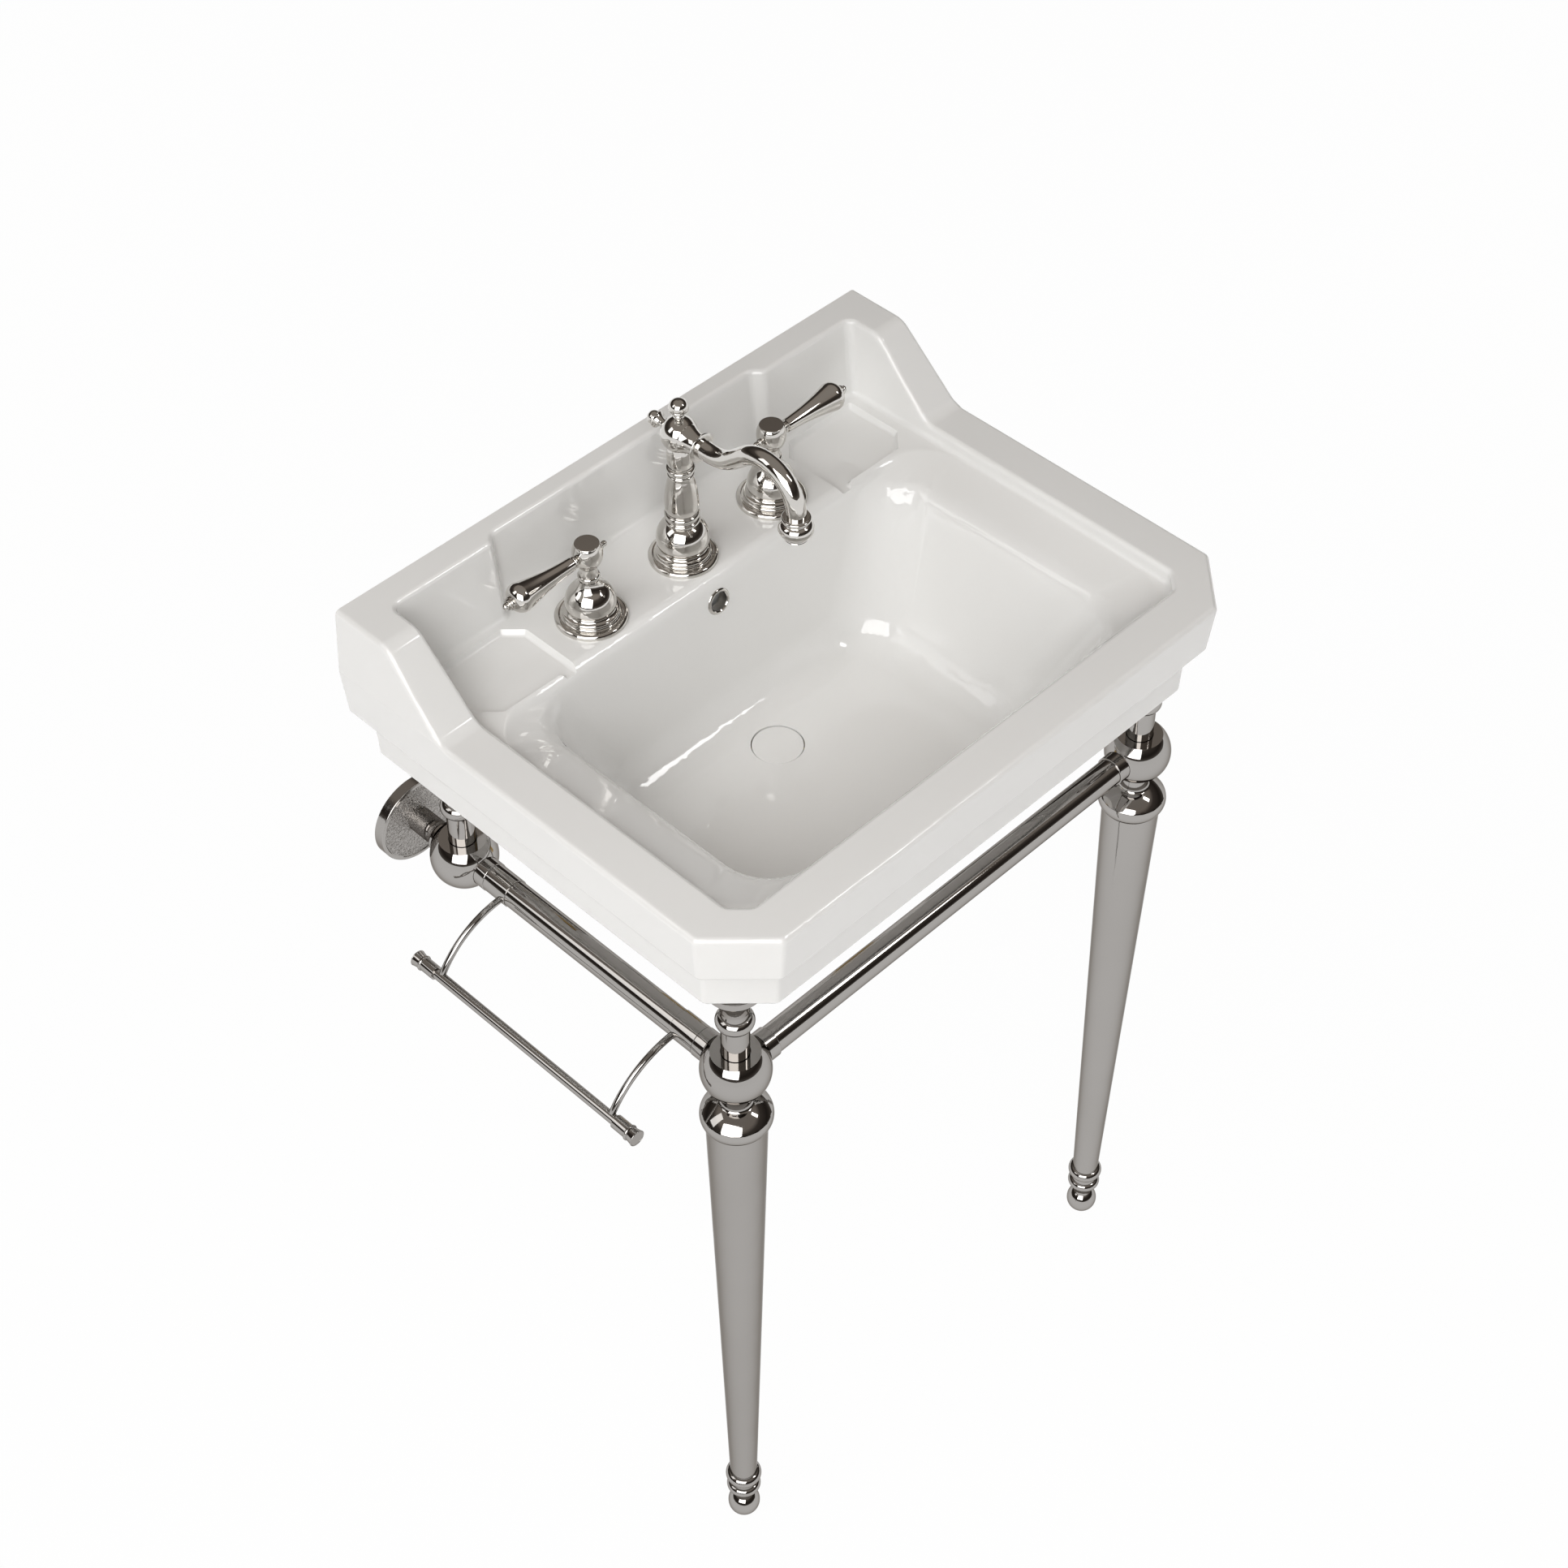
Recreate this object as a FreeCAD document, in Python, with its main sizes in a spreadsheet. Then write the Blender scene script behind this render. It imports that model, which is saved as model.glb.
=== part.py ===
import FreeCAD, Part
import os
import re

import Sketcher
from FreeCAD import Placement, Rotation, Vector

# Console wash basin: a glazed ceramic basin fixed to a wall, a three-piece lever tap,
# a push-open waste, and a turned metal stand with two tapered front legs and a towel bar.
#
# Frame: the wall is the plane Y = 0 and the room lies on the -Y side. +Z is up and X runs
# along the wall. The origin is midway between the two wall bolts of the basin.
# All lengths are millimetres. Sizes whose names end in _level are heights above the floor.

SIZES = {
    # --- the whole object -------------------------------------------------------------
    "bolt_level": 818.0,
    "rim_level": 855.0,
    "basin_width": 580.0,
    "basin_depth": 439.0,
    "tip_flat": 0.4,
    # --- basin outside ----------------------------------------------------------------
    "corner_cut": 46.0,
    "apron_drop": 48.0,
    "apron_draft": 4.5,
    "band_inset": 17.0,
    "band_cut_loss": 6.0,
    "band_back_inset": 12.0,
    "band_drop": 48.0,
    "band_draft": 1.5,
    "upstand_rise": 60.0,
    "upstand_draft": 4.5,
    "wing_top_reach": 58.6,
    "wing_foot_reach": 118.9,
    "wing_bend": 8.0,
    "edge_round": 4.5,
    "corner_round": 7.0,
    "under_edge_round": 2.5,
    "wall_overlap": 25.0,
    # --- basin inside -----------------------------------------------------------------
    "rim_width": 38.5,
    "well_corner_cut": 13.9,
    "deck_drop": 13.0,
    "back_wall": 35.0,
    "back_wall_draft": 9.0,
    "tap_bay_depth": 9.0,
    "tap_bay_half": 142.0,
    "tap_bay_slant": 8.0,
    "dish_depth": 5.0,
    "dish_draft": 2.6,
    "dish_corner_round": 3.5,
    "dish_floor_round": 3.0,
    "dish_front_reach": 114.0,
    "dish_half": 238.0,
    "dish_mitre": 16.0,
    "dish_back_reach": 42.0,
    "dish_back_mitre": 15.0,
    "dish_inner": 148.0,
    "dish_channel_width": 15.0,
    "dish_channel_reach": 136.0,
    "funnel_drop": 13.0,
    "funnel_back": 3.0,
    "funnel_corner": 36.0,
    "shelf_skin_spread": 24.0,
    "bowl_half": 205.0,
    "bowl_back": 121.0,
    "bowl_front": 384.0,
    "bowl_corner": 45.0,
    "bowl_depth": 129.0,
    "bowl_floor_half": 154.0,
    "bowl_floor_back": 139.0,
    "bowl_floor_front": 332.0,
    "bowl_floor_corner": 52.0,
    "bowl_floor_round": 38.0,
    "lip_roll_up": 1.7,
    "lip_roll_down": 4.6,
    "deck_edge_round": 11.0,
    "well_draft": 1.5,
    "well_corner_round": 8.0,
    "well_floor_round": 5.0,
    "ceramic_wall": 12.0,
    "apron_wall": 14.0,
    "deck_thickness": 14.0,
    "dish_floor": 13.0,
    "post_pad_front": 79.0,
    "post_pad_rear": 93.0,
    # --- holes in the basin -----------------------------------------------------------
    "wall_bolt_spacing": 240.0,
    "wall_bolt_hole": 6.5,
    "tap_spread": 101.6,
    "tap_setback": 82.5,
    "tap_hole": 16.5,
    "waste_setback": 190.0,
    "waste_boss": 36.0,
    "waste_boss_drop": 24.0,
    "waste_recess": 22.6,
    "waste_recess_depth": 9.0,
    "waste_hole": 21.3,
    "overflow_level": 817.5,
    "overflow_hole": 10.4,
    "duct_half": 19.0,
    "duct_back": 104.0,
    "duct_wall": 5.0,
    "duct_clear_back": 109.0,
    "duct_clear_front": 115.0,
    "duct_passage_height": 6.0,
    # --- overflow ring ----------------------------------------------------------------
    "overflow_ring_radius": 11.8,
    "overflow_ring_bore": 8.6,
    "overflow_ring_lip": 1.6,
    "overflow_ring_sleeve": 8.0,
    "overflow_sleeve_gap": 1.2,
    # --- waste ------------------------------------------------------------------------
    "cap_radius": 21.75,
    "cap_edge": 5.8,
    "cap_bevel": 0.8,
    "cap_dome": 0.6,
    "cap_clearance": 0.3,
    "stem_socket_depth": 2.0,
    "waste_flange": 22.3,
    "waste_flange_thick": 2.5,
    "waste_tube": 20.95,
    "waste_bore": 17.6,
    "waste_length": 84.0,
    "waste_relief_drop": 31.0,
    "waste_relief_length": 2.0,
    "waste_relief_depth": 1.0,
    "waste_spider_drop": 30.0,
    "waste_spider_thick": 6.0,
    "waste_spider_arm": 5.0,
    "waste_hub": 7.0,
    "waste_slot_drop": 12.0,
    "waste_slot_height": 8.0,
    "stem_radius": 3.5,
    "stem_running_gap": 0.05,
    "stem_length": 48.0,
    "gasket_radius": 30.0,
    "gasket_thick": 3.0,
    "waste_nut_flats": 52.0,
    "waste_nut_thick": 12.0,
    # --- taps below and inside --------------------------------------------------------
    "shank_radius": 13.2,
    "shank_drop": 50.0,
    "tail_radius": 10.48,
    "tail_length": 22.0,
    "water_bore": 5.5,
    "valve_seat_radius": 17.5,
    "valve_seat_thick": 3.0,
    "valve_head_radius": 9.0,
    "valve_head_rise": 30.0,
    "spindle_radius": 4.0,
    "spindle_running_gap": 0.05,
    "spindle_foot_rise": 4.0,
    "spindle_top_rise": 61.0,
    "washer_radius": 20.0,
    "washer_thick": 3.0,
    "tap_nut_flats": 34.0,
    "tap_nut_thick": 9.0,
    "cover_gap": 0.6,
    # --- tap handles ------------------------------------------------------------------
    "bell_flange": 29.7,
    "bell_flange_rise": 2.4,
    "bell_soft": 0.9,
    "bell_cove": 25.6,
    "bell_cove_rise": 2.2,
    "bell_step": 22.6,
    "bell_step_foot": 1.8,
    "bell_step_rise": 2.8,
    "bell_step_swell": 0.6,
    "bell_waist": 19.6,
    "bell_waist_rise": 2.0,
    "bell_waist_swell": 0.5,
    "bell_belly": 20.7,
    "bell_belly_rise": 6.6,
    "bell_shoulder": 13.4,
    "bell_shoulder_rise": 14.4,
    "bell_dome_swell": 1.7,
    "bell_neck": 8.2,
    "bell_neck_rise": 8.2,
    "bell_neck_hollow": 0.8,
    "bell_wall": 2.4,
    "handle_gap": 0.4,
    "hub_foot": 7.7,
    "hub_foot_rise": 0.9,
    "hub_ring_rise": 4.6,
    "hub_ring_swell": 1.5,
    "hub_neck": 7.5,
    "hub_neck_rise": 8.0,
    "hub_neck_hollow": 0.4,
    "hub_ball_rise": 22.4,
    "hub_ball_swell": 3.6,
    "hub_top": 10.2,
    "hub_top_soft": 0.7,
    "hub_ball": 12.1,
    "lever_rise": 66.0,
    "lever_socket": 6.0,
    "lever_neck": 3.7,
    "lever_neck_length": 6.6,
    "lever_bead_swell": 1.4,
    "lever_bead_length": 3.2,
    "lever_root": 5.7,
    "lever_root_length": 1.1,
    "lever_hollow": 1.3,
    "lever_belly": 12.2,
    "lever_grip_length": 51.4,
    "lever_end": 5.9,
    "lever_end_length": 10.6,
    "lever_end_swell": 2.4,
    "lever_tip_ring": 5.3,
    "lever_tip_ring_length": 2.2,
    "lever_tip_soft": 0.35,
    "lever_tip_step": 4.1,
    "lever_tip_step_length": 1.9,
    "lever_tip_waist": 2.7,
    "lever_tip_waist_length": 1.0,
    "lever_tip_ball_swell": 0.9,
    "lever_tip_ball_length": 3.4,
    "stud_neck": 2.2,
    "stud_neck_length": 6.6,
    "stud_ring_swell": 1.1,
    "stud_ring_length": 2.6,
    "stud_waist": 2.4,
    "stud_waist_length": 1.2,
    "stud_ball_swell": 0.9,
    "stud_ball_length": 3.8,
    # --- spout ------------------------------------------------------------------------
    "spout_flange": 28.9,
    "spout_cove": 24.9,
    "spout_step": 22.2,
    "spout_waist": 19.3,
    "spout_belly_rise": 27.0,
    "spout_belly_swell": 5.6,
    "spout_base_neck": 12.6,
    "column_foot": 13.4,
    "column_foot_rise": 3.6,
    "column_bead_swell": 1.2,
    "column_groove_rise": 2.2,
    "column_groove_depth": 0.7,
    "column_collar_rise": 4.2,
    "vase_foot": 13.0,
    "vase_foot_rise": 1.4,
    "vase_low_swell": 0.5,
    "vase_belly": 14.2,
    "vase_belly_rise": 8.0,
    "vase_high_swell": 0.9,
    "vase_neck": 10.1,
    "vase_neck_rise": 27.0,
    "column_ring_rise": 1.0,
    "column_ring_thick": 3.0,
    "column_ring_swell": 1.1,
    "column_ring_two_thick": 4.0,
    "column_ring_two_swell": 1.8,
    "column_cup_foot": 9.9,
    "column_cup_foot_rise": 1.2,
    "column_cup_swell": 1.5,
    "column_top": 9.4,
    "column_cup_rise": 19.0,
    "spout_bore": 5.6,
    "spout_ball": 15.3,
    "spout_ball_top": 4.0,
    "spout_neck_root": 12.4,
    "spout_neck_start": 5.0,
    "spout_neck_seat": 4.6,
    "spout_neck_hollow": 0.9,
    "spout_neck_tip": 9.0,
    "spout_neck_length": 13.2,
    "spout_collar": 12.2,
    "spout_collar_flare": 1.4,
    "spout_collar_soft": 0.6,
    "spout_collar_length": 1.4,
    "spout_collar_wall": 0.9,
    "spout_tube_depth": 2.0,
    "spout_tube": 8.9,
    "spout_run": 8.5,
    "spout_dip_radius": 40.0,
    "spout_rise_angle": 41.0,
    "spout_slope_length": 15.2,
    "spout_arch_radius": 33.5,
    "spout_drop": 6.0,
    "aerator_top": 10.4,
    "aerator_lip": 0.8,
    "aerator_ring_length": 3.4,
    "aerator_ring_swell": 1.5,
    "aerator_groove": 0.5,
    "aerator_waist": 10.8,
    "aerator_waist_length": 2.0,
    "aerator_belly_length": 12.4,
    "aerator_belly_swell": 4.0,
    "aerator_mouth": 9.6,
    "aerator_mouth_length": 3.0,
    "aerator_wall": 2.2,
    "aerator_depth": 5.0,
    "aerator_insert_thick": 4.0,
    "aerator_insert_sink": 1.0,
    "aerator_pore": 1.1,
    "aerator_pore_pitch": 4.6,
    "finial_spigot": 3.0,
    "finial_neck": 2.7,
    "finial_neck_rise": 3.6,
    "finial_bead_rise": 5.0,
    "finial_bead_swell": 1.9,
    "finial_hollow": 0.5,
    "finial_brim": 8.0,
    "finial_brim_rise": 3.2,
    "finial_brim_soft": 0.3,
    "finial_brim_thick": 1.6,
    "finial_dome_rise": 8.2,
    "finial_dome_swell": 2.6,
    "rear_neck": 3.4,
    "rear_neck_length": 8.6,
    "rear_hollow": 0.8,
    "rear_flare": 6.6,
    "rear_flare_length": 6.0,
    "rear_flare_thick": 1.4,
    "rear_soft": 0.3,
    "rear_waist": 5.4,
    "rear_waist_length": 0.8,
    "rear_ball_length": 7.6,
    "rear_ball_swell": 2.6,
    # --- stand layout -----------------------------------------------------------------
    "leg_spread": 240.0,
    "leg_setback": 382.0,
    "rear_ball_setback": 66.0,
    "rail_level": 657.0,
    "leg_top_level": 591.0,
    # --- legs and feet ----------------------------------------------------------------
    "foot_flat": 5.0,
    "foot_ball": 14.6,
    "foot_ball_rise": 14.0,
    "foot_neck": 8.6,
    "foot_neck_rise": 12.2,
    "foot_hollow": 1.4,
    "foot_groove": 12.4,
    "foot_flare_rise": 13.8,
    "foot_low_rise": 9.0,
    "foot_low_swell": 3.1,
    "foot_gap_rise": 7.6,
    "foot_high_rise": 10.8,
    "foot_high_swell": 3.9,
    "foot_top": 12.2,
    "foot_top_rise": 2.6,
    "foot_spigot": 9.0,
    "foot_spigot_rise": 20.0,
    "leg_foot_radius": 12.4,
    "leg_top_radius": 25.1,
    "leg_wall": 1.6,
    "cap_spigot": 20.0,
    "cap_spigot_drop": 20.0,
    "cap_foot": 24.6,
    "cap_rim": 28.4,
    "cap_rim_rise": 15.2,
    "cap_rim_swell": 2.7,
    "cap_shoulder": 14.2,
    "cap_shoulder_rise": 9.8,
    "cap_cone_swell": 0.9,
    "cap_neck": 12.0,
    "cap_neck_rise": 3.4,
    "cap_neck_hollow": 0.5,
    "cap_depth": 18.0,
    # --- balls, posts and rails -------------------------------------------------------
    "ball_radius": 28.5,
    "ball_flat": 20.0,
    "ball_foot_flat": 6.0,
    "post_radius": 11.4,
    "post_socket": 12.0,
    "post_gap_depth": 3.0,
    "post_seat": 8.0,
    "post_low_rise": 44.1,
    "post_bead_rise": 12.8,
    "post_bead_swell": 4.1,
    "post_neck_rise": 5.1,
    "post_flare": 19.6,
    "post_flare_rise": 24.0,
    "post_flare_hollow": 1.2,
    "post_flange": 23.0,
    "post_flange_rise": 2.0,
    "rail_radius": 12.0,
    "rail_wall": 1.5,
    "rail_seat": 20.0,
    "collar_radius": 13.2,
    "collar_seat": 26.0,
    "collar_length": 11.0,
    "collar_soft": 0.8,
    "collar_gap": 0.2,
    # --- wall fixing of the stand -----------------------------------------------------
    "stub_radius": 11.0,
    "stub_wall": 2.0,
    "stub_ring": 14.0,
    "stub_ring_seat": 26.4,
    "stub_ring_length": 9.0,
    "stub_ring_edge": 2.0,
    "stub_ring_hollow": 0.8,
    "flange_radius": 40.0,
    "flange_thick": 10.0,
    "flange_rim": 2.8,
    "flange_soft": 1.0,
    "flange_face_sink": 0.8,
    "flange_plate_gap": 0.5,
    "plate_radius": 31.0,
    "plate_thick": 4.0,
    "plate_hole": 2.75,
    "plate_pitch_radius": 22.5,
    "plate_bore": 8.0,
    # --- towel bar --------------------------------------------------------------------
    "towel_spread": 100.0,
    "towel_sleeve": 12.7,
    "towel_sleeve_length": 25.0,
    "sleeve_soft": 0.4,
    "arm_radius": 2.9,
    "arm_start": 11.0,
    "arm_bend": 77.5,
    "arm_sweep": 62.0,
    "bar_radius": 4.4,
    "bar_half": 118.0,
    "bar_end_sleeve": 6.0,
    "bar_end_sleeve_length": 14.0,
    "bar_end_ring_length": 3.0,
    "bar_end_ring_swell": 1.0,
    "bar_end_mouth": 7.0,
    "bar_end_flare_length": 6.0,
    "bar_end_soft": 0.6,
    "bar_end_cover": 12.0,
}

doc = FreeCAD.newDocument("console_basin")
sheet = doc.addObject("Spreadsheet::Sheet", "Sizes")
for row, (alias, number) in enumerate(SIZES.items(), start=1):
    sheet.set("A%d" % row, alias)
    sheet.set("B%d" % row, str(number))
    sheet.setAlias("B%d" % row, alias)
doc.recompute()

FUNCTIONS = ("sqrt", "sin", "cos", "tan", "atan", "min", "max", "abs")
nodes = []


# --- sizes and placement ------------------------------------------------------------------

def cells(text):
    """Turn a formula of plain size names into one that reads the spreadsheet."""
    return re.sub(r"[a-z]\w*", lambda word: _cell(word.group()), text)


def _cell(word):
    return word if word in FUNCTIONS else "Sizes." + word


def value(text):
    """The number that a formula of size names has now."""
    return float(sheet.evalExpression(cells(text)))


def bind(item, path, text):
    """Tie one property of an object to a formula of size names."""
    item.setExpression(path, cells(text))


def place(item, at, turn=None):
    """Put an object at a point given by three formulas, turned about its own origin."""
    item.Placement = Placement(Vector(*[value(text) for text in at]), turn or Rotation())
    for axis, text in zip("xyz", at):
        bind(item, "Placement.Base." + axis, text)


def level(text):
    """Height in the frame of a level above the floor."""
    return "(" + text + ") - bolt_level"


ALONG_X = Rotation(Vector(0, 1, 0), 90)
ALONG_MINUS_X = Rotation(Vector(0, 1, 0), -90)
ALONG_Y = Rotation(Vector(1, 0, 0), -90)
ALONG_MINUS_Y = Rotation(Vector(1, 0, 0), 90)
UPSIDE_DOWN = Rotation(Vector(1, 0, 0), 180)
CENTRE = ("0", "0", "0")


# --- sketches -----------------------------------------------------------------------------

def new_body(label, at=CENTRE, turn=None):
    """An empty body with its own label and place; it becomes a node of the object."""
    body = doc.addObject("PartDesign::Body", label)
    body.Label = label
    place(body, at, turn)
    nodes.append(body)
    return body


def new_sketch(body, name, plane, lift="0"):
    """A sketch on one of the body's own origin planes, lifted along the plane's normal."""
    sketch = body.newObject("Sketcher::SketchObject", name)
    support = [item for item in body.Origin.OriginFeatures if item.Role == plane][0]
    sketch.AttachmentSupport = [(support, "")]
    sketch.MapMode = "FlatFace"
    sketch.AttachmentOffset = Placement(Vector(0, 0, value(lift)), Rotation())
    bind(sketch, "AttachmentOffset.Base.z", lift)
    return sketch


def pin_point(sketch, edge, end, across, up):
    """Hold a sketch point at two formulas measured from the sketch origin."""
    for kind, text, axis in (("DistanceX", across, -2), ("DistanceY", up, -1)):
        if text == "0":
            sketch.addConstraint(Sketcher.Constraint("PointOnObject", edge, end, axis))
            continue
        rule = sketch.addConstraint(Sketcher.Constraint(kind, -1, 1, edge, end, value(text)))
        name = "%s_%d_%d" % (kind, edge, end)
        sketch.renameConstraint(rule, name)
        bind(sketch, "Constraints." + name, text)


def arc_edge(start, end, bulge):
    """A circular edge between two points that stands out by bulge, to the right if positive."""
    chord = end.sub(start)
    radius = chord.Length ** 2 / (8 * abs(bulge)) + abs(bulge) / 2
    side = 1 if bulge > 0 else -1
    left = Vector(-chord.y, chord.x, 0).normalize()
    centre = (start + end) * 0.5 + left * (side * (radius - abs(bulge)))
    circle = Part.Circle(centre, Vector(0, 0, 1), radius)
    first, last = (start, end) if side > 0 else (end, start)
    return Part.ArcOfCircle(circle, circle.parameter(first), circle.parameter(last))


def closed_outline(sketch, corners):
    """Draw a closed chain of lines and arcs.

    Each corner is (across, up) or (across, up, bulge), as formulas. A bulge makes the edge
    to the next corner an arc that stands out by that much.
    """
    points = [Vector(value(corner[0]), value(corner[1]), 0) for corner in corners]
    count = len(corners)
    first_edge = sketch.GeometryCount
    heads = []
    tails = []
    for index, corner in enumerate(corners):
        start = points[index]
        end = points[(index + 1) % count]
        edge = first_edge + index
        if len(corner) == 2:
            sketch.addGeometry(Part.LineSegment(start, end))
            heads.append((edge, 1))
            tails.append((edge, 2))
            continue
        bulge = value(corner[2])
        sketch.addGeometry(arc_edge(start, end, bulge))
        heads.append((edge, 1 if bulge > 0 else 2))
        tails.append((edge, 2 if bulge > 0 else 1))
    for index, corner in enumerate(corners):
        tail = tails[index - 1]
        head = heads[index]
        sketch.addConstraint(Sketcher.Constraint("Coincident", tail[0], tail[1], head[0], head[1]))
        pin_point(sketch, head[0], head[1], corner[0], corner[1])
    for index, corner in enumerate(corners):
        if len(corner) == 3:
            bind_bulge(sketch, first_edge + index, corner, corners[(index + 1) % count])


def bind_bulge(sketch, edge, corner, following):
    """Hold an arc's radius by how far the arc stands out from its chord."""
    chord = "((%s) - (%s))^2 + ((%s) - (%s))^2" % (following[0], corner[0], following[1], corner[1])
    text = "(%s) / (8 * abs(%s)) + abs(%s) / 2" % (chord, corner[2], corner[2])
    rule = sketch.addConstraint(Sketcher.Constraint("Radius", edge, value(text)))
    name = "bulge_%d" % edge
    sketch.renameConstraint(rule, name)
    bind(sketch, "Constraints." + name, text)


def circle(sketch, across, up, radius):
    """Draw a circle with its centre and radius held by formulas."""
    centre = Vector(value(across), value(up), 0)
    edge = sketch.addGeometry(Part.Circle(centre, Vector(0, 0, 1), value(radius)))
    pin_point(sketch, edge, 3, across, up)
    rule = sketch.addConstraint(Sketcher.Constraint("Radius", edge, value(radius)))
    name = "radius_%d" % edge
    sketch.renameConstraint(rule, name)
    bind(sketch, "Constraints." + name, radius)


# --- features -----------------------------------------------------------------------------

def pad(body, sketch, name, length, draft=None, downward=False):
    """Raise a sketch to a solid; draft is how far each side leans in over the length."""
    feature = body.newObject("PartDesign::Pad", name)
    feature.Profile = sketch
    bind(feature, "Length", length)
    feature.Reversed = downward
    if draft:
        bind(feature, "TaperAngle", "-atan((%s) / (%s))" % (draft, length))
    sketch.Visibility = False
    return feature


def pocket(body, sketch, name, length, upward=False, midplane=False):
    """Cut a sketch into the solid, against the sketch's normal unless upward."""
    feature = body.newObject("PartDesign::Pocket", name)
    feature.Profile = sketch
    bind(feature, "Length", length)
    feature.Reversed = upward
    feature.Midplane = midplane
    sketch.Visibility = False
    return feature


def loft(body, kind, name, low, high):
    """A ruled loft between two outlines with the same number of corners."""
    feature = body.newObject("PartDesign::" + kind, name)
    feature.Profile = low
    feature.Sections = [(high, [""])]
    feature.Ruled = True
    low.Visibility = False
    high.Visibility = False
    return feature


def block(body, kind, name, at, size):
    """A box added to or cut from a body; at is its lowest corner."""
    feature = body.newObject("PartDesign::" + kind, name)
    place(feature, at)
    for side, text in zip(("Length", "Width", "Height"), size):
        bind(feature, side, text)
    return feature


def rod(body, kind, name, at, radius, height, turn=None):
    """A cylinder added to or cut from a body, along +Z unless turned."""
    feature = body.newObject("PartDesign::" + kind, name)
    place(feature, at, turn)
    bind(feature, "Radius", radius)
    bind(feature, "Height", height)
    return feature


def stacked(rows):
    """Corners of an outline from rows of (radius, rise, bulge): each rise adds to the last."""
    corners = []
    height = "0"
    for row in rows:
        if row[1] != "0":
            height = row[1] if height == "0" else height + " + " + row[1]
        corners.append((row[0], height) + tuple(row[2:]))
    return corners, height


def turned(label, at, rows, bore="0", turn=None):
    """A piece turned about its own Z axis.

    Rows run up the outside as (radius, rise, bulge). A bulge rounds the edge from this row
    to the next one. The inside is closed along the axis, or along a plain bore.
    """
    body = new_body(label, at, turn)
    corners, height = stacked(rows)
    lathe(body, label, [(bore, "0")] + corners + [(bore, height)])
    return body


def lathe(body, label, corners):
    """Revolve one closed outline about the body's Z axis."""
    sketch = new_sketch(body, label + "_outline", "XZ_Plane")
    closed_outline(sketch, corners)
    feature = body.newObject("PartDesign::Revolution", label + "_turning")
    feature.Profile = sketch
    feature.ReferenceAxis = (sketch, ["V_Axis"])
    feature.Angle = 360
    sketch.Visibility = False
    return feature


def group(label, parts):
    """One node that holds several identical separate solids."""
    for part in parts:
        nodes.remove(part)
    bundle = doc.addObject("Part::Compound", label)
    bundle.Label = label
    bundle.Links = parts
    nodes.append(bundle)
    return bundle


def outline_sketch(body, name, lift, corners):
    sketch = new_sketch(body, name, "XY_Plane", lift)
    closed_outline(sketch, corners)
    return sketch


def round_edges(body, name, radius, wanted):
    """Round every edge of the newest solid whose bounding box is wanted."""
    doc.recompute()
    base = body.Tip
    edges = []
    for number, edge in enumerate(base.Shape.Edges, start=1):
        if wanted(edge.BoundBox):
            edges.append("Edge%d" % number)
    feature = body.newObject("PartDesign::Fillet", name)
    feature.Base = (base, edges)
    bind(feature, "Radius", radius)
    return feature


def near(one, other, slack=0.05):
    return abs(one - other) < slack


# --- basin --------------------------------------------------------------------------------

def apron_outline(half, back, front, cut):
    """Seen from above: straight back, two cut corners at the front."""
    return [
        ("-(%s)" % half, back),
        ("-(%s)" % half, "-(%s) + %s" % (front, cut)),
        ("-(%s) + %s" % (half, cut), "-(%s)" % front),
        ("%s - %s" % (half, cut), "-(%s)" % front),
        (half, "-(%s) + %s" % (front, cut)),
        (half, back),
    ]


def basin_outside(body):
    """Apron, narrower band below it, and the upstand with its two sloping wings."""
    half = "basin_width / 2"
    rim = level("rim_level")
    corners = apron_outline(half, "wall_overlap", "basin_depth", "corner_cut")
    sketch = outline_sketch(body, "apron_plan", rim, corners)
    pad(body, sketch, "apron", "apron_drop", "apron_draft", downward=True)

    band_half = half + " - band_inset"
    band_front = "basin_depth - band_inset"
    band_cut = "(corner_cut - band_cut_loss)"
    corners = apron_outline(band_half, "-band_back_inset", band_front, band_cut)
    sketch = outline_sketch(body, "band_plan", rim + " - apron_drop", corners)
    pad(body, sketch, "band", "band_drop", "band_draft", downward=True)

    corners = [
        ("-" + half, "wall_overlap"),
        ("-" + half, "-wing_foot_reach - wing_bend"),
        (half, "-wing_foot_reach - wing_bend"),
        (half, "wall_overlap"),
    ]
    sketch = outline_sketch(body, "upstand_plan", rim, corners)
    pad(body, sketch, "upstand", "upstand_rise", "upstand_draft")

    corner = ("-basin_width", "0", rim + " - apron_drop - band_drop")
    size = ("2 * basin_width", "2 * wall_overlap", "apron_drop + band_drop + 2 * upstand_rise")
    block(body, "SubtractiveBox", "wall_face", corner, size)


def wing_slopes(body):
    """The upstand runs forward as two wings that slope down to the rim."""
    rim = level("rim_level")
    top = rim + " + upstand_rise"
    corners = [
        ("-wing_foot_reach - 4 * wing_bend", rim),
        ("-wing_foot_reach - wing_bend", rim, "0.184 * wing_bend"),
        ("-wing_foot_reach + 0.71 * wing_bend", rim + " + 0.71 * wing_bend"),
        ("-wing_top_reach - 0.71 * wing_bend", top + " - 0.71 * wing_bend", "-0.184 * wing_bend"),
        ("-wing_top_reach + wing_bend", top),
        ("-wing_top_reach + wing_bend", top + " + wing_bend"),
        ("-wing_foot_reach - 4 * wing_bend", top + " + wing_bend"),
    ]
    sketch = new_sketch(body, "wing_profile", "YZ_Plane")
    closed_outline(sketch, corners)
    pocket(body, sketch, "wing_slope", "2 * basin_width", midplane=True)


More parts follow.
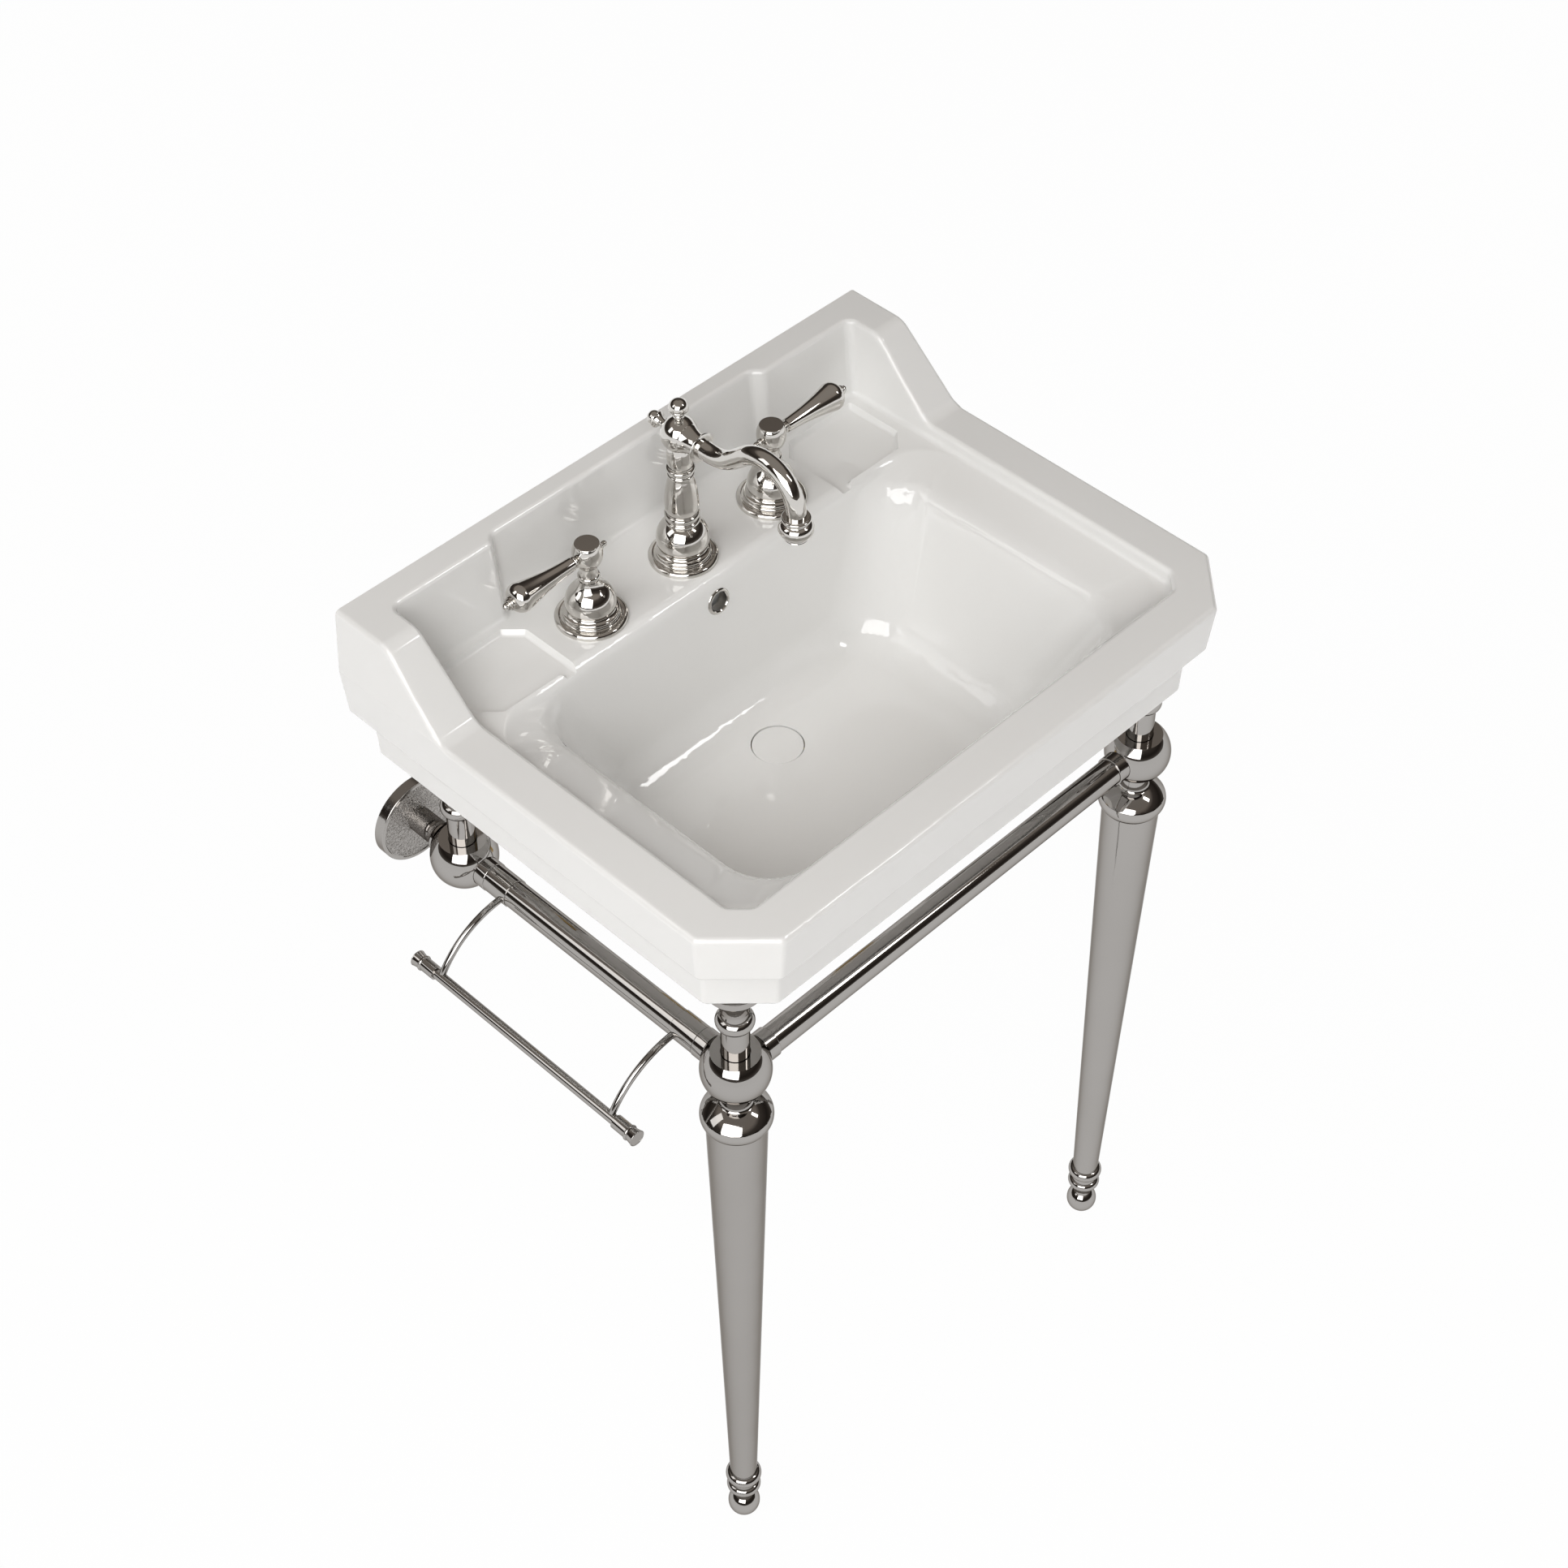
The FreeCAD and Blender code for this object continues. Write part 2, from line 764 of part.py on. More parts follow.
def outside_rounding(body):
    """Soft edges all round the outside, except where the basin meets the wall."""
    half = value("basin_width / 2")
    rim = value(level("rim_level"))
    low = rim - value("apron_drop")
    foot = low - value("band_drop")
    reach = -value("basin_depth - corner_cut") - 1

    def front_corner(box):
        return box.ZLength > 20 and box.YMax < reach + 20 and box.ZMax < rim + 0.1

    def outer_top(box):
        side = max(abs(box.XMin), abs(box.XMax)) > half - value("upstand_draft") - 0.1
        high = box.ZMin > rim - 0.05 and box.YMin < -1
        wide = box.XLength > 1.5 * half
        return (high and side and not wide and box.YMax < 0.1 and box.YLength > 3) or (
            near(box.ZMin, rim) and near(box.ZMax, rim) and box.YMax < reach - 5)

    def under_edge(box):
        flat = near(box.ZMin, box.ZMax)
        return flat and (near(box.ZMin, low) or near(box.ZMin, foot)) and box.YMin < -20

    round_edges(body, "corner_rounding", "corner_round", front_corner)
    round_edges(body, "outer_rounding", "edge_round", outer_top)
    round_edges(body, "under_rounding", "under_edge_round", under_edge)


def rounded_plan(half, back, front, corner):
    """Seen from above: a rectangle behind the front edge with four quarter-round corners."""
    bulge = "0.293 * (%s)" % corner
    return [
        ("-(%s)" % half, "-(%s) - %s" % (back, corner)),
        ("-(%s)" % half, "-(%s) + %s" % (front, corner), bulge),
        ("-(%s) + %s" % (half, corner), "-(%s)" % front),
        ("%s - %s" % (half, corner), "-(%s)" % front, bulge),
        (half, "-(%s) + %s" % (front, corner)),
        (half, "-(%s) - %s" % (back, corner), bulge),
        ("%s - %s" % (half, corner), "-(%s)" % back),
        ("-(%s) + %s" % (half, corner), "-(%s)" % back, bulge),
    ]


def basin_underside(body):
    """Hollow below the deck, left solid in the corners where the posts bear."""
    foot = level("rim_level") + " - apron_drop - band_drop"
    half = "(basin_width / 2 - band_inset - apron_wall)"
    front = "(basin_depth - band_inset - apron_wall)"
    back = "(band_back_inset + apron_wall)"
    corners = [
        ("-" + half, "-%s - post_pad_rear" % back),
        ("-" + half, "-%s + post_pad_front" % front),
        ("-%s + post_pad_front" % half, "-" + front),
        (half + " - post_pad_front", "-" + front),
        (half, "-%s + post_pad_front" % front),
        (half, "-%s - post_pad_rear" % back),
        (half + " - post_pad_rear", "-" + back),
        ("-%s + post_pad_rear" % half, "-" + back),
    ]
    sketch = outline_sketch(body, "underside_plan", foot, corners)
    height = "apron_drop + band_drop - deck_drop - deck_thickness"
    pocket(body, sketch, "underside", height, upward=True)


def basin_bowl_outside(body):
    """Outer skin of the bowl and of its sloping shelf, the waste boss and overflow duct."""
    floor = level("rim_level") + " - deck_drop - funnel_drop - bowl_depth"
    lip = level("rim_level") + " - deck_drop - funnel_drop"
    wall = "ceramic_wall"
    low = outline_sketch(body, "shelf_base_plan", lip + " - " + wall, rounded_plan(
        "bowl_half + " + wall, "bowl_back - " + wall, "bowl_front + " + wall,
        "(bowl_corner + %s)" % wall))
    high = outline_sketch(body, "shelf_skin_plan", lip, rounded_plan(
        "bowl_half + %s + shelf_skin_spread" % wall, "bowl_back - 1.5 * " + wall,
        "bowl_front + " + wall, "(bowl_corner + %s)" % wall))
    loft(body, "AdditiveLoft", "shelf_skin", low, high)
    low = outline_sketch(body, "bowl_base_plan", floor + " - " + wall, rounded_plan(
        "bowl_floor_half", "bowl_floor_back", "bowl_floor_front", "bowl_floor_corner"))
    high = outline_sketch(body, "bowl_skin_plan", lip + " - " + wall, rounded_plan(
        "bowl_half + " + wall, "bowl_back - " + wall, "bowl_front + " + wall,
        "(bowl_corner + %s)" % wall))
    loft(body, "AdditiveLoft", "bowl_skin", low, high)

    drain = ("0", "-waste_setback", floor + " - waste_boss_drop")
    rod(body, "AdditiveCylinder", "waste_boss", drain, "waste_boss", "waste_boss_drop")
    corner = ("-duct_half", "-waste_setback", floor + " - waste_boss_drop")
    size = ("2 * duct_half", "waste_setback - duct_back", "waste_boss_drop")
    block(body, "AdditiveBox", "duct_floor", corner, size)
    corner = ("-duct_half", "-bowl_back - duct_half / 2", floor + " - waste_boss_drop")
    size = ("2 * duct_half", "bowl_back + duct_half / 2 - duct_back",
            "waste_boss_drop + bowl_depth + funnel_drop / 2")
    block(body, "AdditiveBox", "duct_riser", corner, size)
    for name, across in (("left", "-dish_half"), ("right", "dish_inner")):
        corner = (across, "-dish_front_reach",
                  level("rim_level") + " - deck_drop - dish_depth - dish_floor")
        size = ("dish_half - dish_inner", "dish_front_reach - back_wall", "dish_floor")
        block(body, "AdditiveBox", name + "_dish_skin", corner, size)


WELL_HALF = "(basin_width / 2 - rim_width)"
WELL_FRONT = "(basin_depth - rim_width)"


def well_plan(lean, back):
    """Seen from above: cut front corners, and a back wall set further back behind the taps."""
    side = "(%s - %s)" % (WELL_HALF, lean)
    front = "(%s - %s)" % (WELL_FRONT, lean)
    return [
        ("-" + side, "-(%s)" % back),
        ("-" + side, "-%s + well_corner_cut" % front),
        ("-%s + well_corner_cut" % side, "-" + front),
        ("%s - well_corner_cut" % side, "-" + front),
        (side, "-%s + well_corner_cut" % front),
        (side, "-(%s)" % back),
        ("tap_bay_half + tap_bay_slant", "-(%s)" % back),
        ("tap_bay_half", "-(%s) + tap_bay_depth" % back),
        ("-tap_bay_half", "-(%s) + tap_bay_depth" % back),
        ("-tap_bay_half - tap_bay_slant", "-(%s)" % back),
    ]


def basin_well(body):
    """The open well above the deck, with soft corners, a soft foot and a soft rim."""
    deck = level("rim_level") + " - deck_drop"
    low = outline_sketch(body, "well_floor_plan", deck, well_plan("well_draft", "back_wall"))
    high = outline_sketch(body, "well_top_plan", level("rim_level") + " + upstand_rise",
                          well_plan("0", "back_wall - back_wall_draft"))
    loft(body, "SubtractiveLoft", "well", low, high)

    rim_at = value(level("rim_level"))
    deck_at = value(deck)
    half = value(WELL_HALF)
    front = value(WELL_FRONT)

    def inside(box):
        widest = max(abs(box.XMin), abs(box.XMax))
        return widest < half + 0.6 and box.YMin > -front - 0.6 and box.YMax < -5

    def corner(box):
        return inside(box) and near(box.ZMin, deck_at) and box.ZMax > rim_at - 0.1

    def foot(box):
        return inside(box) and near(box.ZMin, deck_at) and near(box.ZMax, deck_at)

    def rim_edge(box):
        return inside(box) and box.ZMin > rim_at - 0.1

    round_edges(body, "well_corners", "well_corner_round", corner)
    round_edges(body, "well_foot", "well_floor_round", foot)
    round_edges(body, "rim_edge", "edge_round", rim_edge)


def bowl_plan(drop):
    """The bowl seen from above at a height measured down from its lip."""
    part = "(%s) / bowl_depth" % drop
    return rounded_plan(
        "bowl_half - (bowl_half - bowl_floor_half) * " + part,
        "bowl_back + (bowl_floor_back - bowl_back) * " + part,
        "bowl_front - (bowl_front - bowl_floor_front) * " + part,
        "(bowl_corner + (bowl_floor_corner - bowl_corner) * %s)" % part)


def shelf_plan(rise):
    """The sloping shelf seen from above at a height measured up from the lip."""
    part = "(%s) / funnel_drop" % rise
    foot = "well_draft - well_floor_round"
    return rounded_plan(
        "bowl_half + (%s - %s - bowl_half) * %s" % (WELL_HALF, foot, part),
        "bowl_back - funnel_back * " + part,
        "bowl_front + (%s - %s - bowl_front) * %s" % (WELL_FRONT, foot, part),
        "(bowl_corner + (funnel_corner - bowl_corner) * %s)" % part)


def basin_bowl(body):
    """The shelf that slopes from the deck to the lip, the rolled lip and the bowl below it."""
    deck = level("rim_level") + " - deck_drop"
    lip = deck + " - funnel_drop"
    above = outline_sketch(body, "shelf_low_plan", lip + " + lip_roll_up",
                           shelf_plan("lip_roll_up"))
    high = outline_sketch(body, "shelf_top_plan", deck, shelf_plan("funnel_drop"))
    loft(body, "SubtractiveLoft", "sloping_shelf", above, high)
    below = outline_sketch(body, "roll_low_plan", lip + " - lip_roll_down",
                           bowl_plan("lip_roll_down"))
    above = outline_sketch(body, "roll_top_plan", lip + " + lip_roll_up",
                           shelf_plan("lip_roll_up"))
    loft(body, "SubtractiveLoft", "lip_roll", below, above)
    low = outline_sketch(body, "bowl_floor_plan", lip + " - bowl_depth", bowl_plan("bowl_depth"))
    below = outline_sketch(body, "bowl_top_plan", lip + " - lip_roll_down",
                           bowl_plan("lip_roll_down"))
    loft(body, "SubtractiveLoft", "bowl", low, below)

    floor_at = value(lip + " - bowl_depth")
    deck_at = value(deck)
    floor_back = -value("bowl_floor_back")
    edge_back = -value("bowl_back - funnel_back")

    def floor_edge(box):
        return near(box.ZMin, floor_at) and near(box.ZMax, floor_at) and box.YMax < floor_back + 1

    def deck_edge(box):
        return near(box.YMax, edge_back) and near(box.ZMin, deck_at)

    round_edges(body, "bowl_floor_edge", "bowl_floor_round", floor_edge)
    round_edges(body, "deck_edge", "deck_edge_round", deck_edge)


def dish_tool(label, sign):
    """The shape of one soap dish and its channel; it is cut out of the deck."""
    deck = level("rim_level") + " - deck_drop"
    inner = "(dish_inner + dish_channel_width)"
    corners = [
        ("dish_half", "-dish_back_reach"),
        ("dish_half", "-dish_front_reach + dish_mitre"),
        ("(dish_half - dish_mitre)", "-dish_front_reach"),
        (inner, "-dish_front_reach"),
        (inner, "-dish_channel_reach"),
        ("dish_inner", "-dish_channel_reach"),
        ("dish_inner", "-dish_back_reach - dish_back_mitre"),
        ("(dish_inner + dish_back_mitre)", "-dish_back_reach"),
    ]
    corners = [(sign + across, up) for across, up in corners]
    if sign == "":
        corners.reverse()
    body = new_body(label)
    nodes.remove(body)
    sketch = outline_sketch(body, label + "_plan", deck, corners)
    pad(body, sketch, label + "_block", "dish_depth", "dish_draft", downward=True)
    floor_at = value(deck + " - dish_depth")
    round_edges(body, label + "_corners", "dish_corner_round",
                lambda box: near(box.ZLength, value("dish_depth")))
    round_edges(body, label + "_floor", "dish_floor_round",
                lambda box: near(box.ZMin, floor_at) and near(box.ZMax, floor_at))
    return body


def soap_dishes(body):
    """A shallow dish on each side of the taps, with a channel that drains into the bowl."""
    tools = [dish_tool("left_dish", "-"), dish_tool("right_dish", "")]
    feature = body.newObject("PartDesign::Boolean", "soap_dishes")
    feature.Type = "Cut"
    feature.setObjects(tools)
    return feature


def basin_holes(body):
    """Waste outlet with its recess, overflow passage, three tap holes, two wall bolt holes."""
    deck = level("rim_level") + " - deck_drop"
    floor = deck + " - funnel_drop - bowl_depth"
    setback = "-waste_setback"
    rod(body, "SubtractiveCylinder", "waste_recess", ("0", setback, floor + " - waste_recess_depth"),
        "waste_recess", "2 * waste_recess_depth")
    rod(body, "SubtractiveCylinder", "waste_hole", ("0", setback, floor + " - 2 * waste_boss_drop"),
        "waste_hole", "2 * waste_boss_drop")
    width = "2 * duct_half - 2 * duct_wall"
    passage = floor + " - waste_boss_drop + duct_wall"
    block(body, "SubtractiveBox", "duct_passage",
          ("-duct_half + duct_wall", setback, passage),
          (width, "waste_setback - duct_clear_back", "duct_passage_height"))
    block(body, "SubtractiveBox", "duct_shaft",
          ("-duct_half + duct_wall", "-duct_clear_front", passage),
          (width, "duct_clear_front - duct_clear_back",
           level("overflow_level") + " + overflow_hole - (%s)" % passage))
    tilt = Rotation(Vector(1, 0, 0), 90)
    rod(body, "SubtractiveCylinder", "overflow_hole",
        ("0", "-duct_clear_back", level("overflow_level")), "overflow_hole",
        "bowl_floor_back - duct_clear_back", tilt)
    for name, across in (("left", "-tap_spread"), ("middle", "0"), ("right", "tap_spread")):
        rod(body, "SubtractiveCylinder", name + "_tap_hole",
            (across, "-tap_setback", deck + " - 2 * deck_thickness"), "tap_hole",
            "3 * deck_thickness")
    for name, sign in (("left", "-"), ("right", "")):
        rod(body, "SubtractiveCylinder", name + "_bolt_hole",
            (sign + "wall_bolt_spacing / 2", "wall_overlap", "0"), "wall_bolt_hole",
            "3 * wall_overlap", tilt)


basin = new_body("basin")
basin_outside(basin)
wing_slopes(basin)
outside_rounding(basin)
basin_underside(basin)
basin_bowl_outside(basin)
basin_well(basin)
basin_bowl(basin)
soap_dishes(basin)
basin_holes(basin)


# --- waste and overflow -------------------------------------------------------------------

DECK = level("rim_level") + " - deck_drop"
BOWL_FLOOR = DECK + " - funnel_drop - bowl_depth"
WASTE_LEDGE = BOWL_FLOOR + " - waste_recess_depth"
BOSS_FOOT = BOWL_FLOOR + " - waste_boss_drop"


def swell(radius, low, high, rise):
    """How far a round of this radius, centred on the axis, stands out between two rows."""
    return "(%s - sqrt((%s)^2 - ((%s - (%s))^2 + (%s)^2) / 4))" % (radius, radius, low, high, rise)


def waste_at(height):
    """A point on the waste's own axis."""
    return ("0", "-waste_setback", height)


def hexagon_nut(label, at, flats, thick, bore):
    """A hexagon nut that stands on its own origin."""
    body = new_body(label, at)
    sketch = new_sketch(body, label + "_outline", "XY_Plane")
    corner = "(%s / sqrt(3))" % flats
    closed_outline(sketch, [
        (corner, "0"),
        (corner + " / 2", "%s / 2" % flats),
        ("-%s / 2" % corner, "%s / 2" % flats),
        ("-" + corner, "0"),
        ("-%s / 2" % corner, "-%s / 2" % flats),
        (corner + " / 2", "-%s / 2" % flats),
    ])
    circle(sketch, "0", "0", bore)
    pad(body, sketch, label + "_blank", thick)
    return body


def make_waste_body():
    """Flanged tube on the ledge in the bowl, with a stem guide and an overflow slot."""
    body = new_body("waste_body", waste_at(WASTE_LEDGE))
    lathe(body, "waste_body", [
        ("waste_bore", "-waste_length"),
        ("waste_tube", "-waste_length"),
        ("waste_tube", "-waste_relief_drop - waste_relief_length"),
        ("waste_tube - waste_relief_depth", "-waste_relief_drop - waste_relief_length"),
        ("waste_tube - waste_relief_depth", "-waste_relief_drop"),
        ("waste_tube", "-waste_relief_drop"),
        ("waste_tube", "0"),
        ("waste_flange", "0"),
        ("waste_flange", "waste_flange_thick"),
        ("waste_bore", "waste_flange_thick"),
    ])
    foot = "-waste_spider_drop"
    rod(body, "AdditiveCylinder", "guide_hub", ("0", "0", foot), "waste_hub",
        "waste_spider_thick")
    block(body, "AdditiveBox", "guide_arm", ("-waste_bore - 1", "-waste_spider_arm / 2", foot),
          ("2 * waste_bore + 2", "waste_spider_arm", "waste_spider_thick"))
    rod(body, "SubtractiveCylinder", "guide_hole", ("0", "0", foot + " - waste_spider_thick"),
        "stem_radius + stem_running_gap", "3 * waste_spider_thick")
    block(body, "SubtractiveBox", "overflow_slot", ("-waste_hub", "0", "-waste_slot_drop"),
          ("2 * waste_hub", "2 * waste_tube", "waste_slot_height"))


def make_waste_cap():
    """Round push cap, nearly flush with the bowl floor, on its stem."""
    seat = WASTE_LEDGE + " + waste_flange_thick + cap_clearance"
    body = new_body("waste_cap", waste_at(seat))
    edge = "(cap_radius - cap_bevel)"
    lathe(body, "waste_cap", [
        ("0", "0"),
        (edge, "0"),
        ("cap_radius", "cap_bevel"),
        ("cap_radius", "cap_edge - cap_bevel", "0.29 * cap_bevel"),
        (edge, "cap_edge", "cap_dome / 4"),
        ("tip_flat", "cap_edge + cap_dome"),
        ("0", "cap_edge + cap_dome"),
    ])
    rod(body, "SubtractiveCylinder", "stem_socket", CENTRE, "stem_radius", "stem_socket_depth")
    turned("waste_stem", waste_at(seat + " + stem_socket_depth"),
           [("stem_radius", "0"), ("stem_radius", "stem_length")], turn=UPSIDE_DOWN)


make_waste_body()
make_waste_cap()
turned("waste_gasket", waste_at(BOSS_FOOT + " - gasket_thick"),
       [("gasket_radius", "0"), ("gasket_radius", "gasket_thick")], "waste_tube")
hexagon_nut("waste_locknut", waste_at(BOSS_FOOT + " - gasket_thick - waste_nut_thick"),
            "waste_nut_flats", "waste_nut_thick", "waste_tube")

# The ring lies on the sloping back wall of the bowl and faces forward and a little up.
BACK_SLOPE = "(bowl_floor_back - bowl_back) / bowl_depth"
OVERFLOW_DROP = "(rim_level - deck_drop - funnel_drop - overflow_level)"
ring = new_body("overflow_ring", (
    "0", "-bowl_back - %s * %s" % (BACK_SLOPE, OVERFLOW_DROP), level("overflow_level")),
    Rotation(Vector(1, 0, 0), 90 - value("atan(%s)" % BACK_SLOPE)))
lathe(ring, "overflow_ring", [
    ("overflow_ring_bore", "-overflow_ring_sleeve"),
    ("overflow_hole - overflow_sleeve_gap", "-overflow_ring_sleeve"),
    ("overflow_hole - overflow_sleeve_gap", "0"),
    ("overflow_ring_radius", "0"),
    ("overflow_ring_radius", "overflow_ring_lip / 3", "overflow_ring_lip / 4"),
    ("overflow_ring_bore + overflow_ring_lip / 2", "overflow_ring_lip"),
    ("overflow_ring_bore", "overflow_ring_lip / 2"),
])


# --- taps ---------------------------------------------------------------------------------

def tap_at(across, height="0"):
    """A point on a tap hole's axis, measured up from the deck."""
    return (across, "-tap_setback", DECK + " + " + height)


def make_valve(label, across):
    """Threaded shank through the deck with its seat, its valve head and its water way."""
    body = new_body(label, tap_at(across))
    foot = "-shank_drop - tail_length"
    lathe(body, label, [
        ("water_bore", foot),
        ("tail_radius", foot),
        ("tail_radius", "-shank_drop"),
        ("shank_radius", "-shank_drop"),
        ("shank_radius", "0"),
        ("valve_seat_radius", "0"),
        ("valve_seat_radius", "valve_seat_thick"),
        ("valve_head_radius", "valve_seat_thick"),
        ("valve_head_radius", "valve_head_rise"),
        ("spindle_radius + spindle_running_gap", "valve_head_rise"),
        ("spindle_radius + spindle_running_gap", "0"),
        ("water_bore", "0"),
    ])
    return body


def make_bell(label, across):
    """Bell-shaped cover over the valve, open below and bored at the neck."""
    body = new_body(label, tap_at(across))
    rows = [
        ("bell_flange", "0"),
        ("bell_flange", "bell_flange_rise", "bell_soft"),
        ("bell_cove", "bell_cove_rise", "-bell_soft"),
        ("bell_step", "bell_step_foot", "bell_step_swell"),
        ("bell_step", "bell_step_rise", "-bell_soft / 2"),
        ("bell_waist", "bell_waist_rise", "bell_waist_swell"),
        ("bell_belly", "bell_belly_rise", "bell_dome_swell"),
        ("bell_shoulder", "bell_shoulder_rise", "-bell_neck_hollow"),
        ("bell_neck", "bell_neck_rise"),
    ]
    corners, height = stacked(rows)
    seat = "(valve_seat_radius + cover_gap)"
    head = "(valve_head_radius + cover_gap)"
    lathe(body, label, [(seat, "0")] + corners + [
        ("bell_neck - bell_wall", height),
        ("bell_neck - bell_wall", "valve_head_rise + cover_gap"),
        (head, "valve_head_rise + cover_gap"),
        (head, "valve_seat_thick + cover_gap"),
        (seat, "valve_seat_thick + cover_gap"),
    ])
    return height


def make_hub(label, across, foot, side):
    """Turned hub with a flat top; the lever screws into one side and a stud into the other."""
    body = new_body(label, tap_at(across, foot))
    rows = [
        ("hub_foot", "0"),
        ("hub_foot", "hub_foot_rise", "hub_ring_swell"),
        ("hub_foot", "hub_ring_rise", "-hub_neck_hollow"),
        ("hub_neck", "hub_neck_rise", "hub_ball_swell"),
        ("hub_top", "hub_ball_rise", "hub_top_soft / 3"),
        ("hub_top - hub_top_soft", "hub_top_soft"),
    ]
    corners, height = stacked(rows)
    lathe(body, label, [("0", "0")] + corners + [("0", height)])
    rod(body, "SubtractiveCylinder", "spindle_socket", CENTRE, "spindle_radius",
        "spindle_top_rise - (%s)" % foot)
    rise = "lever_rise - (%s)" % foot
    turn = ALONG_MINUS_X if side == "-" else ALONG_X
    back = ALONG_X if side == "-" else ALONG_MINUS_X
    other = "" if side == "-" else "-"
    rod(body, "SubtractiveCylinder", "lever_socket", (side + "lever_socket", "0", rise),
        "lever_neck", "2 * hub_ball", turn)
    rod(body, "SubtractiveCylinder", "stud_socket", (other + "lever_socket", "0", rise),
        "stud_neck", "2 * hub_ball", back)


def make_lever(label, across, side):
    """Long grip that swells towards its end, with a stepped tip."""
    turn = ALONG_MINUS_X if side == "-" else ALONG_X
    rows = [
        ("lever_neck", "0"),
        ("lever_neck", "lever_neck_length", "lever_bead_swell"),
        ("lever_neck", "lever_bead_length"),
        ("lever_root", "lever_root_length", "-lever_hollow"),
        ("lever_belly", "lever_grip_length", "lever_end_swell"),
        ("lever_end", "lever_end_length"),
        ("lever_tip_ring", "0", "lever_tip_soft"),
        ("lever_tip_ring", "lever_tip_ring_length"),
        ("lever_tip_step", "0", "lever_tip_soft"),
        ("lever_tip_step", "lever_tip_step_length"),
        ("lever_tip_waist", "0"),
        ("lever_tip_waist", "lever_tip_waist_length", "lever_tip_ball_swell"),
        ("tip_flat", "lever_tip_ball_length"),
    ]
    corners, height = stacked(rows)
    body = new_body(label, tap_at("%s%slever_socket" % (across, " - " if side == "-" else " + "),
                                  "lever_rise"), turn)
    lathe(body, label, [("0", "0")] + corners + [("0", height)])


def make_stud(label, across, side):
    """Small finial on the hub, opposite the lever."""
    turn = ALONG_X if side == "-" else ALONG_MINUS_X
    rows = [
        ("stud_neck", "0"),
        ("stud_neck", "stud_neck_length", "stud_ring_swell"),
        ("stud_neck", "stud_ring_length"),
        ("stud_waist", "stud_waist_length", "stud_ball_swell"),
        ("tip_flat", "stud_ball_length"),
    ]
    corners, height = stacked(rows)
    body = new_body(label, tap_at("%s%slever_socket" % (across, " + " if side == "-" else " - "),
                                  "lever_rise"), turn)
    lathe(body, label, [("0", "0")] + corners + [("0", height)])


for water, across, side in (("hot", "-tap_spread", "-"), ("cold", "tap_spread", "")):
    make_valve(water + "_valve_body", across)
    bell_top = make_bell(water + "_tap_base", across)
    turned(water + "_valve_spindle", tap_at(across, "spindle_foot_rise"),
           [("spindle_radius", "0"), ("spindle_radius", "spindle_top_rise - spindle_foot_rise")])
    make_hub(water + "_handle_hub", across, bell_top + " + handle_gap", side)
    make_lever(water + "_lever", across, side)
    make_stud(water + "_hub_finial", across, side)


# --- spout --------------------------------------------------------------------------------

def make_spout_shank():
    """Hollow threaded shank of the spout, with its seat on the deck."""
    body = new_body("spout_shank", tap_at("0"))
    foot = "-shank_drop - tail_length"
    lathe(body, "spout_shank", [
        ("water_bore", foot),
        ("tail_radius", foot),
        ("tail_radius", "-shank_drop"),
        ("shank_radius", "-shank_drop"),
        ("shank_radius", "0"),
        ("valve_seat_radius", "0"),
        ("valve_seat_radius", "valve_seat_thick"),
        ("valve_head_radius", "valve_seat_thick"),
        ("valve_head_radius", "valve_head_rise"),
        ("water_bore", "valve_head_rise"),
    ])


def make_spout_base():
    """Stepped round foot of the spout."""
    body = new_body("spout_base", tap_at("0"))
    rows = [
        ("spout_flange", "0"),
        ("spout_flange", "bell_flange_rise", "bell_soft"),
        ("spout_cove", "bell_cove_rise", "-bell_soft"),
        ("spout_step", "bell_step_foot", "bell_step_swell"),
        ("spout_step", "bell_step_rise", "-bell_soft / 2"),
        ("spout_waist", "bell_waist_rise", "spout_belly_swell"),
        ("spout_base_neck", "spout_belly_rise"),
    ]
    corners, height = stacked(rows)
    seat = "(valve_seat_radius + cover_gap)"
    lathe(body, "spout_base", [(seat, "0")] + corners + [
        ("valve_head_radius", height),
        ("valve_head_radius", "valve_seat_thick + cover_gap"),
        (seat, "valve_seat_thick + cover_gap"),
    ])
    return height


def make_spout_column(foot):
    """Slender vase-shaped column with rings above and below."""
    rows = [
        ("column_foot", "0", "column_bead_swell"),
        ("column_foot", "column_foot_rise", "-column_groove_depth"),
        ("column_foot", "column_groove_rise", "column_bead_swell"),
        ("column_foot", "column_collar_rise", "-column_groove_depth"),
        ("vase_foot", "vase_foot_rise", "vase_low_swell"),
        ("vase_belly", "vase_belly_rise", "vase_high_swell"),
        ("vase_neck", "vase_neck_rise"),
        ("vase_neck", "column_ring_rise", "column_ring_swell"),
        ("vase_neck", "column_ring_thick", "-column_groove_depth / 2"),
        ("vase_neck", "column_groove_rise", "column_ring_two_swell"),
        ("vase_neck", "column_ring_two_thick"),
        ("column_cup_foot", "column_cup_foot_rise", "column_cup_swell"),
        ("column_top", "column_cup_rise"),
    ]
    corners, height = stacked(rows)
    body = new_body("spout_column", tap_at("0", foot))
    lathe(body, "spout_column", [("spout_bore", "0")] + corners + [("spout_bore", height)])
    return foot + " + " + height


